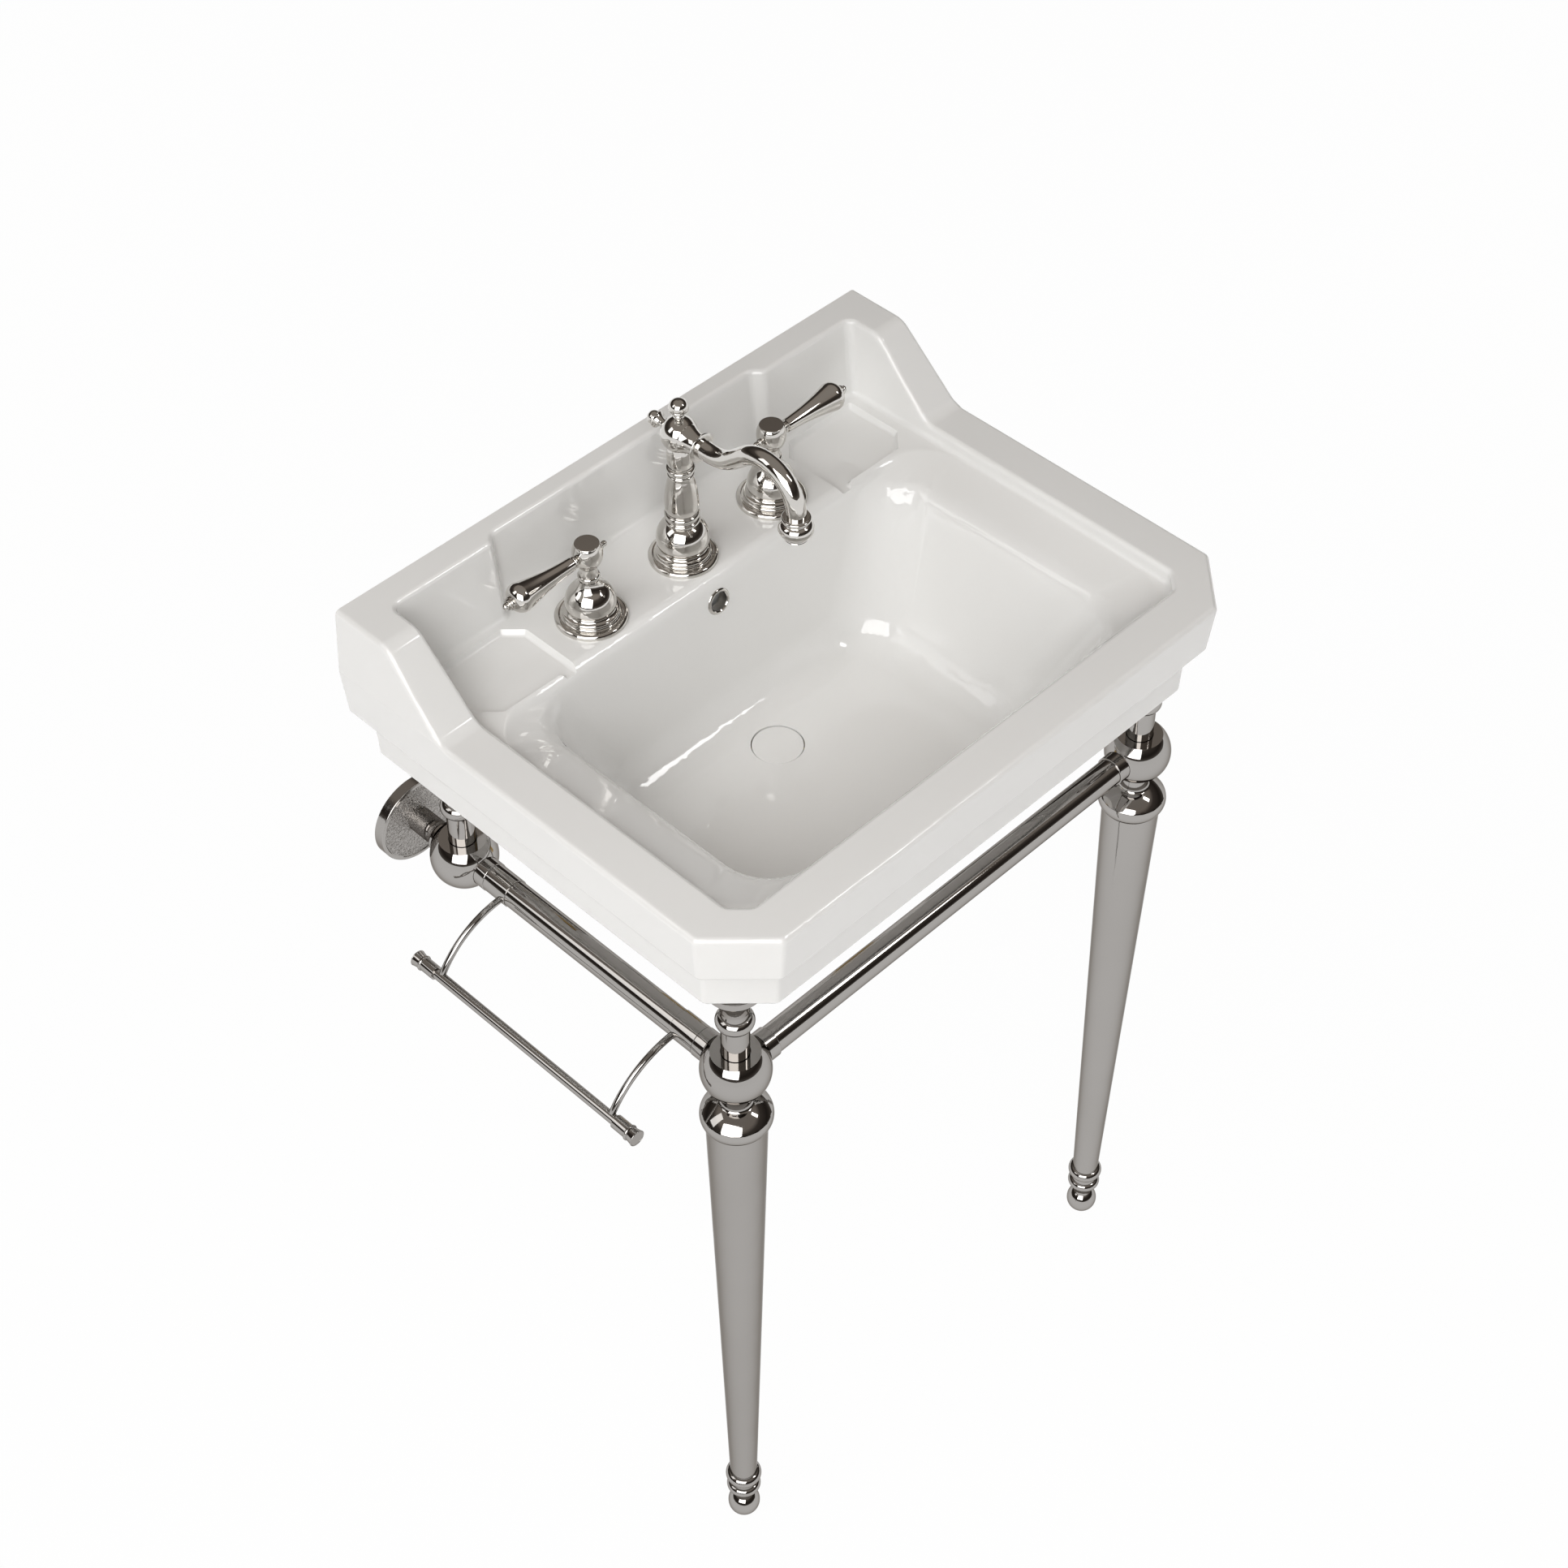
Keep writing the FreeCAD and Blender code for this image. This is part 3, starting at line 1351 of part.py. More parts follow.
def make_spout_ball(foot):
    """Ball on the column; the arm and two finials are screwed into it."""
    low = "column_top"
    high = "spout_ball_top"
    below = "sqrt(spout_ball^2 - %s^2)" % low
    above = "sqrt(spout_ball^2 - %s^2)" % high
    rise = "(%s + %s)" % (below, above)
    body = new_body("spout_ball", tap_at("0", foot))
    lathe(body, "spout_ball", [
        ("0", "0"),
        (low, "0", swell("spout_ball", low, high, rise)),
        (high, rise),
        ("0", rise),
    ])
    rod(body, "SubtractiveCylinder", "rise_bore", CENTRE, "spout_bore", below)
    rod(body, "SubtractiveCylinder", "arm_bore", ("0", "0", below), "spout_bore",
        "2 * spout_ball", ALONG_MINUS_Y)
    rod(body, "SubtractiveCylinder", "arm_socket", ("0", "-spout_neck_start", below),
        "spout_neck_root", "2 * spout_ball", ALONG_MINUS_Y)
    rod(body, "SubtractiveCylinder", "top_socket", ("0", "0", rise + " - finial_spigot"),
        "finial_neck", "2 * finial_spigot")
    rod(body, "SubtractiveCylinder", "rear_socket", ("0", "spout_ball - 2 * finial_spigot", below),
        "rear_neck", "4 * finial_spigot", ALONG_Y)
    return foot + " + " + below, foot + " + " + rise


def make_spout_finials(centre, top):
    """Mushroom finial on top of the ball and a ball finial behind it."""
    rows = [
        ("finial_neck", "0"),
        ("finial_neck", "finial_neck_rise", "finial_bead_swell"),
        ("finial_neck", "finial_bead_rise", "-finial_hollow"),
        ("finial_brim", "finial_brim_rise", "finial_brim_soft"),
        ("finial_brim", "finial_brim_thick", "finial_dome_swell"),
        ("tip_flat", "finial_dome_rise"),
    ]
    turned("spout_top_finial", tap_at("0", top + " - finial_spigot"), rows)
    rows = [
        ("rear_neck", "0"),
        ("rear_neck", "rear_neck_length", "-rear_hollow"),
        ("rear_flare", "rear_flare_length", "rear_soft"),
        ("rear_flare", "rear_flare_thick"),
        ("rear_waist", "0"),
        ("rear_waist", "rear_waist_length", "rear_ball_swell"),
        ("tip_flat", "rear_ball_length"),
    ]
    at = tap_at("0", centre)
    turned("spout_rear_finial", (at[0], at[1] + " + spout_ball - 2 * finial_spigot", at[2]), rows,
           turn=ALONG_Y)


def make_spout_collar(centre):
    """Flared neck between the ball and the bent tube, ending in a ring."""
    rows = [
        ("spout_neck_root", "0"),
        ("spout_neck_root", "spout_neck_seat", "-spout_neck_hollow"),
        ("spout_neck_tip", "spout_neck_length"),
        ("spout_collar", "spout_collar_flare", "spout_collar_soft"),
        ("spout_collar", "spout_collar_length", "spout_collar_soft / 2"),
        ("spout_tube", "spout_collar_soft"),
    ]
    corners, height = stacked(rows)
    at = tap_at("0", centre)
    body = new_body("spout_collar", (at[0], at[1] + " - spout_neck_start", at[2]), ALONG_MINUS_Y)
    lathe(body, "spout_collar", [("spout_bore", "0")] + corners + [
        ("spout_tube - spout_collar_wall", height),
        ("spout_tube - spout_collar_wall", height + " - spout_tube_depth"),
        ("spout_bore", height + " - spout_tube_depth"),
    ])
    return height


def make_spout_tube(centre, collar):
    """Bent tube that dips, rises and turns down over the bowl."""
    at = tap_at("0", centre)
    begin = "spout_neck_start + %s - spout_tube_depth" % collar
    body = new_body("spout_tube", (at[0], at[1] + " - (%s)" % begin, at[2]))
    path = new_sketch(body, "spout_path", "YZ_Plane")
    dip = "spout_dip_radius"
    arch = "spout_arch_radius"
    lean = "spout_rise_angle"
    spots = [("0", "0")]
    steps = [
        ("-(spout_tube_depth + spout_run)", "0"),
        ("-%s * sin(%s)" % (dip, lean), "%s * (1 - cos(%s))" % (dip, lean)),
        ("-spout_slope_length * cos(%s)" % lean, "spout_slope_length * sin(%s)" % lean),
        ("-%s * (1 + sin(%s))" % (arch, lean), "-%s * cos(%s)" % (arch, lean)),
        ("0", "-spout_drop"),
    ]
    for step in steps:
        last = spots[-1]
        spots.append((last[0] + " + " + step[0], last[1] + " + " + step[1]))
    bends = {
        1: "-(%s * (1 - cos(%s / 2)))" % (dip, lean),
        3: "(%s * (1 - cos(45 + %s / 2)))" % (arch, lean),
    }
    open_path(path, spots, bends)
    section = new_sketch(body, "tube_section", "XZ_Plane")
    circle(section, "0", "0", "spout_tube - spout_collar_wall")
    circle(section, "0", "0", "spout_bore")
    feature = body.newObject("PartDesign::AdditivePipe", "spout_bend")
    feature.Profile = section
    feature.Spine = (path, [])
    feature.Transition = "Transformed"
    path.Visibility = False
    section.Visibility = False
    return begin, spots[-1]


def open_path(sketch, spots, bends):
    """A chain of lines and arcs through the given spots; a bend is an arc's signed bulge."""
    points = [Vector(value(spot[0]), value(spot[1]), 0) for spot in spots]
    ends = []
    for index in range(len(points) - 1):
        if index in bends:
            bulge = value(bends[index])
            edge = arc_edge(points[index], points[index + 1], bulge)
            ends.append((1, 2) if bulge > 0 else (2, 1))
        else:
            edge = Part.LineSegment(points[index], points[index + 1])
            ends.append((1, 2))
        sketch.addGeometry(edge)
    for index, spot in enumerate(spots):
        edge = min(index, len(ends) - 1)
        end = ends[edge][0] if index == edge else ends[edge][1]
        pin_point(sketch, edge, end, spot[0], spot[1])
        if 0 < index < len(ends):
            sketch.addConstraint(Sketcher.Constraint(
                "Coincident", index - 1, ends[index - 1][1], index, ends[index][0]))
    for index, bend in bends.items():
        bind_bulge(sketch, index, spots[index] + (bend,), spots[index + 1])


def make_aerator(centre, begin, end):
    """Bulb-shaped outlet on the tube's end, with a pierced insert."""
    top = "(%s) + (%s) + aerator_depth" % (centre, end[1])
    at = tap_at("0", top)
    at = (at[0], at[1] + " - (%s) + (%s)" % (begin, end[0]), at[2])
    rows = [
        ("aerator_top", "0"),
        ("aerator_top", "aerator_lip", "aerator_ring_swell"),
        ("aerator_top", "aerator_ring_length", "-aerator_groove"),
        ("aerator_waist", "aerator_waist_length", "aerator_belly_swell"),
        ("aerator_mouth", "aerator_belly_length", "-aerator_groove"),
        ("aerator_mouth", "aerator_mouth_length"),
    ]
    corners, height = stacked(rows)
    tube = "(spout_tube - spout_collar_wall)"
    inner = "(aerator_mouth - aerator_wall)"
    body = new_body("aerator_housing", at, UPSIDE_DOWN)
    lathe(body, "aerator_housing", [(tube, "0")] + corners + [
        (inner, height),
        (inner, "aerator_depth"),
        (tube, "aerator_depth"),
    ])
    body = new_body("aerator_insert",
                    (at[0], at[1], at[2] + " - (%s) + aerator_insert_sink" % height))
    sketch = new_sketch(body, "insert_plan", "XY_Plane")
    circle(sketch, "0", "0", inner)
    circle(sketch, "0", "0", "aerator_pore")
    for turn in range(0, 360, 60):
        circle(sketch, "aerator_pore_pitch * cos(%d)" % turn,
               "aerator_pore_pitch * sin(%d)" % turn, "aerator_pore")
    pad(body, sketch, "insert_disc", "aerator_insert_thick")


make_spout_shank()
base_top = make_spout_base()
column_top = make_spout_column(base_top)
ball_centre, ball_top = make_spout_ball(column_top)
make_spout_finials(ball_centre, ball_top)
collar_length = make_spout_collar(ball_centre)
tube_begin, tube_end = make_spout_tube(ball_centre, collar_length)
make_aerator(ball_centre, tube_begin, tube_end)

washers = []
locknuts = []
for place_name, across in (("left", "-tap_spread"), ("middle", "0"), ("right", "tap_spread")):
    seat = "-deck_thickness - washer_thick"
    washers.append(turned(place_name + "_tap_washer", tap_at(across, seat),
                          [("washer_radius", "0"), ("washer_radius", "washer_thick")],
                          "shank_radius"))
    locknuts.append(hexagon_nut(place_name + "_tap_locknut",
                                tap_at(across, seat + " - tap_nut_thick"),
                                "tap_nut_flats", "tap_nut_thick", "shank_radius"))
group("tap_washers", washers)
group("tap_locknuts", locknuts)


# --- stand --------------------------------------------------------------------------------

def stand_at(sign, setback, height):
    """A point of the stand: left or right, back from the wall, and up from the floor."""
    return (sign + "leg_spread", "-" + setback, level(height))


def make_leg(name, sign):
    """Turned foot, tapered tubular leg and the flared cap that carries the ball."""
    rows = [
        ("foot_flat", "0", swell("foot_ball", "foot_flat", "foot_ball", "foot_ball_rise")),
        ("foot_ball", "foot_ball_rise", swell("foot_ball", "foot_ball", "foot_neck", "foot_neck_rise")),
        ("foot_neck", "foot_neck_rise", "-foot_hollow"),
        ("foot_groove", "foot_flare_rise", "foot_low_swell"),
        ("foot_groove", "foot_low_rise"),
        ("foot_groove", "foot_gap_rise", "foot_high_swell"),
        ("foot_groove", "foot_high_rise"),
        ("foot_top", "foot_top_rise"),
        ("foot_spigot", "0"),
        ("foot_spigot", "foot_spigot_rise"),
    ]
    turned(name + "_foot", stand_at(sign, "leg_setback", "0"), rows)
    foot_top = "(foot_ball_rise + foot_neck_rise + foot_flare_rise + foot_low_rise"
    foot_top += " + foot_gap_rise + foot_high_rise + foot_top_rise)"

    body = new_body(name + "_leg", stand_at(sign, "leg_setback", foot_top))
    length = "(leg_top_level - %s)" % foot_top
    lathe(body, name + "_leg", [
        ("foot_spigot", "0"),
        ("leg_foot_radius", "0"),
        ("leg_top_radius", length),
        ("cap_spigot", length),
        ("cap_spigot", length + " - cap_spigot_drop"),
        ("leg_top_radius - 2 * leg_wall", length + " - cap_spigot_drop"),
        ("leg_foot_radius - leg_wall", "foot_spigot_rise"),
        ("foot_spigot", "foot_spigot_rise"),
    ])

    rows = [
        ("cap_foot", "0", "cap_rim_swell"),
        ("cap_rim", "cap_rim_rise", "cap_cone_swell"),
        ("cap_shoulder", "cap_shoulder_rise", "-cap_neck_hollow"),
        ("cap_neck", "cap_neck_rise"),
    ]
    corners, height = stacked(rows)
    top = "(rail_level - cap_depth - leg_top_level)"
    body = new_body(name + "_leg_cap", stand_at(sign, "leg_setback", "leg_top_level"))
    lathe(body, name + "_leg_cap", [
        ("0", "-cap_spigot_drop"),
        ("cap_spigot", "-cap_spigot_drop"),
        ("cap_spigot", "0"),
    ] + corners + [("cap_neck", top), ("0", top)])


BALL_LOW = "sqrt(ball_radius^2 - cap_neck^2)"
BALL_HIGH = "sqrt(ball_radius^2 - ball_flat^2)"


def make_ball(label, sign, setback, legged, rails):
    """Ball joint: post socket on top, and sockets for a leg, rails or a wall tube."""
    low = "cap_neck" if legged else "ball_foot_flat"
    below = "sqrt(ball_radius^2 - %s^2)" % low
    rise = "(%s + %s)" % (below, BALL_HIGH)
    body = new_body(label, stand_at(sign, setback, "rail_level"))
    lathe(body, label, [
        ("0", "-" + below),
        (low, "-" + below, swell("ball_radius", low, "ball_flat", rise)),
        ("ball_flat", BALL_HIGH),
        ("0", BALL_HIGH),
    ])
    rod(body, "SubtractiveCylinder", "post_gap", ("0", "0", BALL_HIGH + " - post_gap_depth"),
        "post_socket", "2 * post_gap_depth")
    rod(body, "SubtractiveCylinder", "post_bore", ("0", "0", "post_seat"), "post_radius",
        "ball_radius")
    if legged:
        rod(body, "SubtractiveCylinder", "leg_bore", ("0", "0", "-cap_depth"), "cap_neck",
            "ball_radius", UPSIDE_DOWN)
    for name, radius, turn in rails:
        axis = turn.multVec(Vector(0, 0, 1))
        start = ["0", "0", "0"]
        index = 0 if abs(axis.x) > 0.5 else 1
        start[index] = ("rail_seat" if axis[index] > 0 else "-rail_seat")
        rod(body, "SubtractiveCylinder", name, tuple(start), radius, "ball_radius", turn)


def make_post(label, sign, setback):
    """Short post on a ball, with a bead and a flared head that the basin rests on."""
    rows = [
        ("post_radius", "0"),
        ("post_radius", "post_low_rise", "post_bead_swell"),
        ("post_radius", "post_bead_rise"),
        ("post_radius", "post_neck_rise", "-post_flare_hollow"),
        ("post_flare", "post_flare_rise"),
        ("post_flange", "post_flange_rise"),
    ]
    top = "(rim_level - apron_drop - band_drop - rail_level - post_seat)"
    at = stand_at(sign, setback, "rail_level")
    body = new_body(label, (at[0], at[1], at[2] + " + post_seat"))
    lathe(body, label, [("0", "0")] + stacked(rows)[0] + [("post_flange", top), ("0", top)])


def make_tube(label, at, turn, radius, wall, length):
    turned(label, at, [(radius, "0"), (radius, length)], "%s - %s" % (radius, wall), turn)


for name, sign in (("left", "-"), ("right", "")):
    make_leg(name, sign)
    inward = ALONG_X if sign == "-" else ALONG_MINUS_X
    make_ball(name + "_front_ball", sign, "leg_setback", True, [
        ("side_rail_socket", "rail_radius", ALONG_Y), ("front_rail_socket", "rail_radius", inward)])
    make_ball(name + "_rear_ball", sign, "rear_ball_setback", False, [
        ("side_rail_socket", "rail_radius", ALONG_MINUS_Y), ("stub_socket", "stub_radius", ALONG_Y)])
    make_post(name + "_front_post", sign, "leg_setback")
    make_post(name + "_rear_post", sign, "rear_ball_setback")
    make_tube(name + "_side_rail", stand_at(sign, "leg_setback + rail_seat", "rail_level"),
              ALONG_Y, "rail_radius", "rail_wall",
              "leg_setback - rear_ball_setback - 2 * rail_seat")

make_tube("front_rail", ("-leg_spread + rail_seat", "-leg_setback", level("rail_level")), ALONG_X,
          "rail_radius", "rail_wall", "2 * leg_spread - 2 * rail_seat")


def make_collar(label, at, turn):
    """Short sleeve on a rail, close to a ball."""
    return turned(label, at, [
        ("collar_radius", "0"),
        ("collar_radius", "collar_length - collar_soft", "0.29 * collar_soft"),
        ("collar_radius - collar_soft", "collar_soft"),
    ], "rail_radius", turn)


collars = []
for name, sign in (("left", "-"), ("right", "")):
    inward = ALONG_X if sign == "-" else ALONG_MINUS_X
    step = " + " if sign == "-" else " - "
    collars.append(make_collar(name + "_front_collar",
                               (sign + "leg_spread" + step + "collar_seat", "-leg_setback",
                                level("rail_level")), inward))
    collars.append(make_collar(name + "_side_front_collar", (
        sign + "leg_spread", "-leg_setback + collar_seat", level("rail_level")), ALONG_Y))
    collars.append(make_collar(name + "_side_rear_collar", (
        sign + "leg_spread", "-rear_ball_setback - collar_seat", level("rail_level")),
        ALONG_MINUS_Y))
group("rail_collars", collars)


# --- wall fixing of the stand -------------------------------------------------------------

def wall_point(sign, out="0"):
    return (sign + "leg_spread", "-" + out if out != "0" else "0", level("rail_level"))


def make_wall_flange(label, sign):
    """Round cover with a raised rim; it hides the fixing plate."""
    body = new_body(label, wall_point(sign), ALONG_MINUS_Y)
    inner = "(plate_radius + flange_plate_gap)"
    face = "(flange_thick - flange_face_sink)"
    lathe(body, label, [
        (inner, "0"),
        ("flange_radius", "0"),
        ("flange_radius", "flange_thick - flange_soft", "0.29 * flange_soft"),
        ("flange_radius - flange_soft", "flange_thick"),
        ("flange_radius - flange_rim", "flange_thick"),
        ("flange_radius - flange_rim - flange_face_sink", face),
        ("stub_radius", face),
        ("stub_radius", "plate_thick + flange_plate_gap"),
        (inner, "plate_thick + flange_plate_gap"),
    ])


def make_wall_stub(label, sign):
    """Tube from the fixing plate to the rear ball, with a flared ring next to the ball."""
    body = new_body(label, wall_point(sign, "plate_thick"), ALONG_MINUS_Y)
    length = "(rear_ball_setback - rail_seat - plate_thick)"
    ring = "(rear_ball_setback - plate_thick - stub_ring_seat)"
    bore = "(stub_radius - stub_wall)"
    lathe(body, label, [
        (bore, "0"),
        ("stub_radius", "0"),
        ("stub_radius", ring + " - stub_ring_length", "-stub_ring_hollow"),
        ("stub_ring", ring + " - stub_ring_edge"),
        ("stub_ring", ring),
        ("stub_radius", ring),
        ("stub_radius", length),
        (bore, length),
    ])


def make_wall_plate(label, sign):
    """Steel disc screwed to the wall through three holes."""
    body = new_body(label, wall_point(sign), ALONG_MINUS_Y)
    sketch = new_sketch(body, label + "_plan", "XY_Plane")
    circle(sketch, "0", "0", "plate_radius")
    circle(sketch, "0", "0", "plate_bore")
    for turn in (90, 210, 330):
        circle(sketch, "plate_pitch_radius * cos(%d)" % turn,
               "plate_pitch_radius * sin(%d)" % turn, "plate_hole")
    pad(body, sketch, label + "_disc", "plate_thick")
    return body


plates = []
for name, sign in (("left", "-"), ("right", "")):
    make_wall_flange(name + "_wall_flange", sign)
    make_wall_stub(name + "_wall_stub", sign)
    plates.append(make_wall_plate(name + "_wall_plate", sign))
group("wall_plates", plates)


# --- towel bar on the left side -----------------------------------------------------------

BAR_OUT = "(leg_spread + arm_start + arm_bend * sin(arm_sweep))"
BAR_LEVEL = level("rail_level") + " - arm_bend * (1 - cos(arm_sweep))"


def make_towel_arm(label, setback):
    """Thin bent rod from the side rail to the towel bar, notched to fit both."""
    body = new_body(label, ("-leg_spread - arm_start", "-(%s)" % setback,
                            level("rail_level") + " - arm_bend"))
    sketch = new_sketch(body, label + "_section", "YZ_Plane")
    circle(sketch, "0", "arm_bend", "arm_radius")
    feature = body.newObject("PartDesign::Revolution", label + "_bend")
    feature.Profile = sketch
    feature.ReferenceAxis = (sketch, ["H_Axis"])
    bind(feature, "Angle", "arm_sweep")
    feature.Reversed = True
    sketch.Visibility = False
    rod(body, "SubtractiveCylinder", label + "_rail_notch",
        ("arm_start", "-rail_radius", "arm_bend"), "towel_sleeve", "2 * rail_radius", ALONG_Y)
    rod(body, "SubtractiveCylinder", label + "_bar_notch",
        ("-arm_bend * sin(arm_sweep)", "-rail_radius", "arm_bend * cos(arm_sweep)"),
        "bar_radius", "2 * rail_radius", ALONG_Y)


sleeves = []
for name, base, sign, turn in (
        ("rear", "rear_ball_setback", "+", ALONG_MINUS_Y), ("front", "leg_setback", "-", ALONG_Y)):
    middle = "(leg_setback + rear_ball_setback) / 2"
    setback = middle + (" - towel_spread" if name == "rear" else " + towel_spread")
    make_towel_arm(name + "_towel_arm", setback)
    seat = "-(%s %s (collar_seat + collar_length + collar_gap))" % (base, sign)
    sleeves.append(turned(name + "_towel_sleeve", ("-leg_spread", seat, level("rail_level")), [
        ("towel_sleeve", "0"),
        ("towel_sleeve", "towel_sleeve_length - sleeve_soft", "0.29 * sleeve_soft"),
        ("towel_sleeve - sleeve_soft", "sleeve_soft"),
    ], "rail_radius", turn))
group("towel_sleeves", sleeves)

turned("towel_bar", ("-" + BAR_OUT, "-(leg_setback + rear_ball_setback) / 2 - bar_half", BAR_LEVEL),
       [("bar_radius", "0"), ("bar_radius", "2 * bar_half")], turn=ALONG_Y)
bar_ends = []
for name, sign, turn in (("rear", "+", ALONG_Y), ("front", "-", ALONG_MINUS_Y)):
    rows = [
        ("bar_end_sleeve", "0"),
        ("bar_end_sleeve", "bar_end_sleeve_length", "bar_end_ring_swell"),
        ("bar_end_sleeve", "bar_end_ring_length"),
        ("bar_end_mouth", "bar_end_flare_length", "bar_end_soft"),
        ("bar_end_mouth - bar_end_soft", "bar_end_soft"),
    ]
    corners, height = stacked(rows)
    middle = "-(leg_setback + rear_ball_setback) / 2"
    body = new_body(name + "_towel_bar_end",
                    ("-" + BAR_OUT, "%s %s (bar_half - bar_end_cover)" % (middle, sign),
                     BAR_LEVEL), turn)
    lathe(body, name + "_towel_bar_end", [("bar_radius", "0")] + corners + [
        ("0", height), ("0", "bar_end_cover"), ("bar_radius", "bar_end_cover")])
    bar_ends.append(body)
group("towel_bar_ends", bar_ends)


# --- check and write ----------------------------------------------------------------------

doc.recompute()
for item in doc.Objects:
    if "Invalid" in item.State or "Error" in item.State:
        raise RuntimeError("%s did not build: %s" % (item.Label, item.State))
os.makedirs("parts", exist_ok=True)
for node in nodes:
    if node.Shape.isNull() or not node.Shape.isValid():
        raise RuntimeError(node.Label + " is not a valid solid")
    node.Shape.exportStep("parts/%s.step" % node.Label)
    print(node.Label, len(node.Shape.Solids), round(node.Shape.Volume / 1000, 2))
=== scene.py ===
from math import pi, radians

import bmesh
import bpy
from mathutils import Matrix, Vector


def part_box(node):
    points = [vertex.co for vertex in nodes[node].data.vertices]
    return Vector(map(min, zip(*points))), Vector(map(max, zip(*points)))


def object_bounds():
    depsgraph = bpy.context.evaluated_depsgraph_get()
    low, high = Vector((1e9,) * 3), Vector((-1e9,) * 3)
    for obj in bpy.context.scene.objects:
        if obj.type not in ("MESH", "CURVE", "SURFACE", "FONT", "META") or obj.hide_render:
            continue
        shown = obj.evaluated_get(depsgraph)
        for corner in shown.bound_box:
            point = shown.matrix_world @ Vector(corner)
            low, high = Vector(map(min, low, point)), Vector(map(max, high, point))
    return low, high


# Console wash basin on a polished metal stand. All lengths are metres. The wall is the plane
# Y = 0, the room is on the -Y side and the floor is 0.818 m below the origin.
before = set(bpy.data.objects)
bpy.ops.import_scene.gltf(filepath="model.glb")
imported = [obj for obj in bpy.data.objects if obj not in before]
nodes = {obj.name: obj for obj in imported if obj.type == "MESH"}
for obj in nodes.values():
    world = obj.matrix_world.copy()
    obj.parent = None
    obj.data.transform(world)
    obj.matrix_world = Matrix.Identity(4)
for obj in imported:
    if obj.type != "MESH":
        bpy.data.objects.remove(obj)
cad_box = [list(corner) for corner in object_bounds()]


# --- room --------------------------------------------------------------------------------------
# A wide white floor turned up at its far edge, in a room that is dim and warm above it, so
# that the polished metal has something darker than the basin to mirror.
FLOOR_LEVEL = cad_box[0][2]
FLOOR_GAP = 0.0003
FLOOR_REACH = 30.0
FLOOR_UPTURN = 3.5
FLOOR_GLOW = 0.97
ROOM_GLOW = 0.8
ROOM_BY_HEIGHT = (
    (0.00, (0.34, 0.32, 0.30, 1)),
    (0.10, (0.16, 0.145, 0.13, 1)),
    (0.22, (0.06, 0.05, 0.043, 1)),
    (0.34, (0.035, 0.029, 0.025, 1)),
    (0.60, (0.09, 0.076, 0.066, 1)),
    (0.72, (0.34, 0.30, 0.265, 1)),
    (1.00, (0.36, 0.33, 0.30, 1)),
)


def new_material(name):
    """An empty Principled material and its shader node."""
    material = bpy.data.materials.new(name)
    material.use_nodes = True
    return material, material.node_tree.nodes["Principled BSDF"]


def maths(tree, operation, first, second):
    """The output of one maths node; first is a socket, second is a socket or a number."""
    node = tree.nodes.new("ShaderNodeMath")
    node.operation = operation
    tree.links.new(first, node.inputs[0])
    if isinstance(second, float):
        node.inputs[1].default_value = second
    else:
        tree.links.new(second, node.inputs[1])
    return node.outputs["Value"]


def white_floor():
    """Matt white that the eye and mirrors see as nearly plain white with a faint shadow."""
    material, shader = new_material("white_floor")
    shader.inputs["Base Color"].default_value = (0.93, 0.93, 0.93, 1)
    shader.inputs["Roughness"].default_value = 0.9
    shader.inputs["Specular IOR Level"].default_value = 0.0
    tree = material.node_tree
    ray = tree.nodes.new("ShaderNodeLightPath").outputs
    seen = ray["Is Camera Ray"]
    for kind in ("Is Glossy Ray", "Is Transmission Ray"):
        seen = maths(tree, "MAXIMUM", seen, ray[kind])
    white = tree.nodes.new("ShaderNodeEmission")
    white.inputs["Strength"].default_value = 1.0
    mix = tree.nodes.new("ShaderNodeMixShader")
    tree.links.new(maths(tree, "MULTIPLY", seen, FLOOR_GLOW), mix.inputs["Fac"])
    tree.links.new(shader.outputs["BSDF"], mix.inputs[1])
    tree.links.new(white.outputs["Emission"], mix.inputs[2])
    tree.links.new(mix.outputs["Shader"], tree.nodes["Material Output"].inputs["Surface"])
    return material


def ground():
    """A square floor just under the feet, with its four edges raised."""
    plan = bmesh.new()
    bmesh.ops.create_grid(plan, x_segments=1, y_segments=1, size=FLOOR_REACH)
    bmesh.ops.translate(plan, verts=plan.verts, vec=(0, 0, FLOOR_LEVEL - FLOOR_GAP))
    upturn = bmesh.ops.extrude_edge_only(plan, edges=plan.edges)["geom"]
    raised = [item for item in upturn if isinstance(item, bmesh.types.BMVert)]
    bmesh.ops.translate(plan, verts=raised, vec=(0, 0, FLOOR_UPTURN))
    mesh = bpy.data.meshes.new("floor")
    plan.to_mesh(mesh)
    plan.free()
    floor = bpy.data.objects.new("floor", mesh)
    bpy.context.scene.collection.objects.link(floor)
    mesh.materials.append(white_floor())


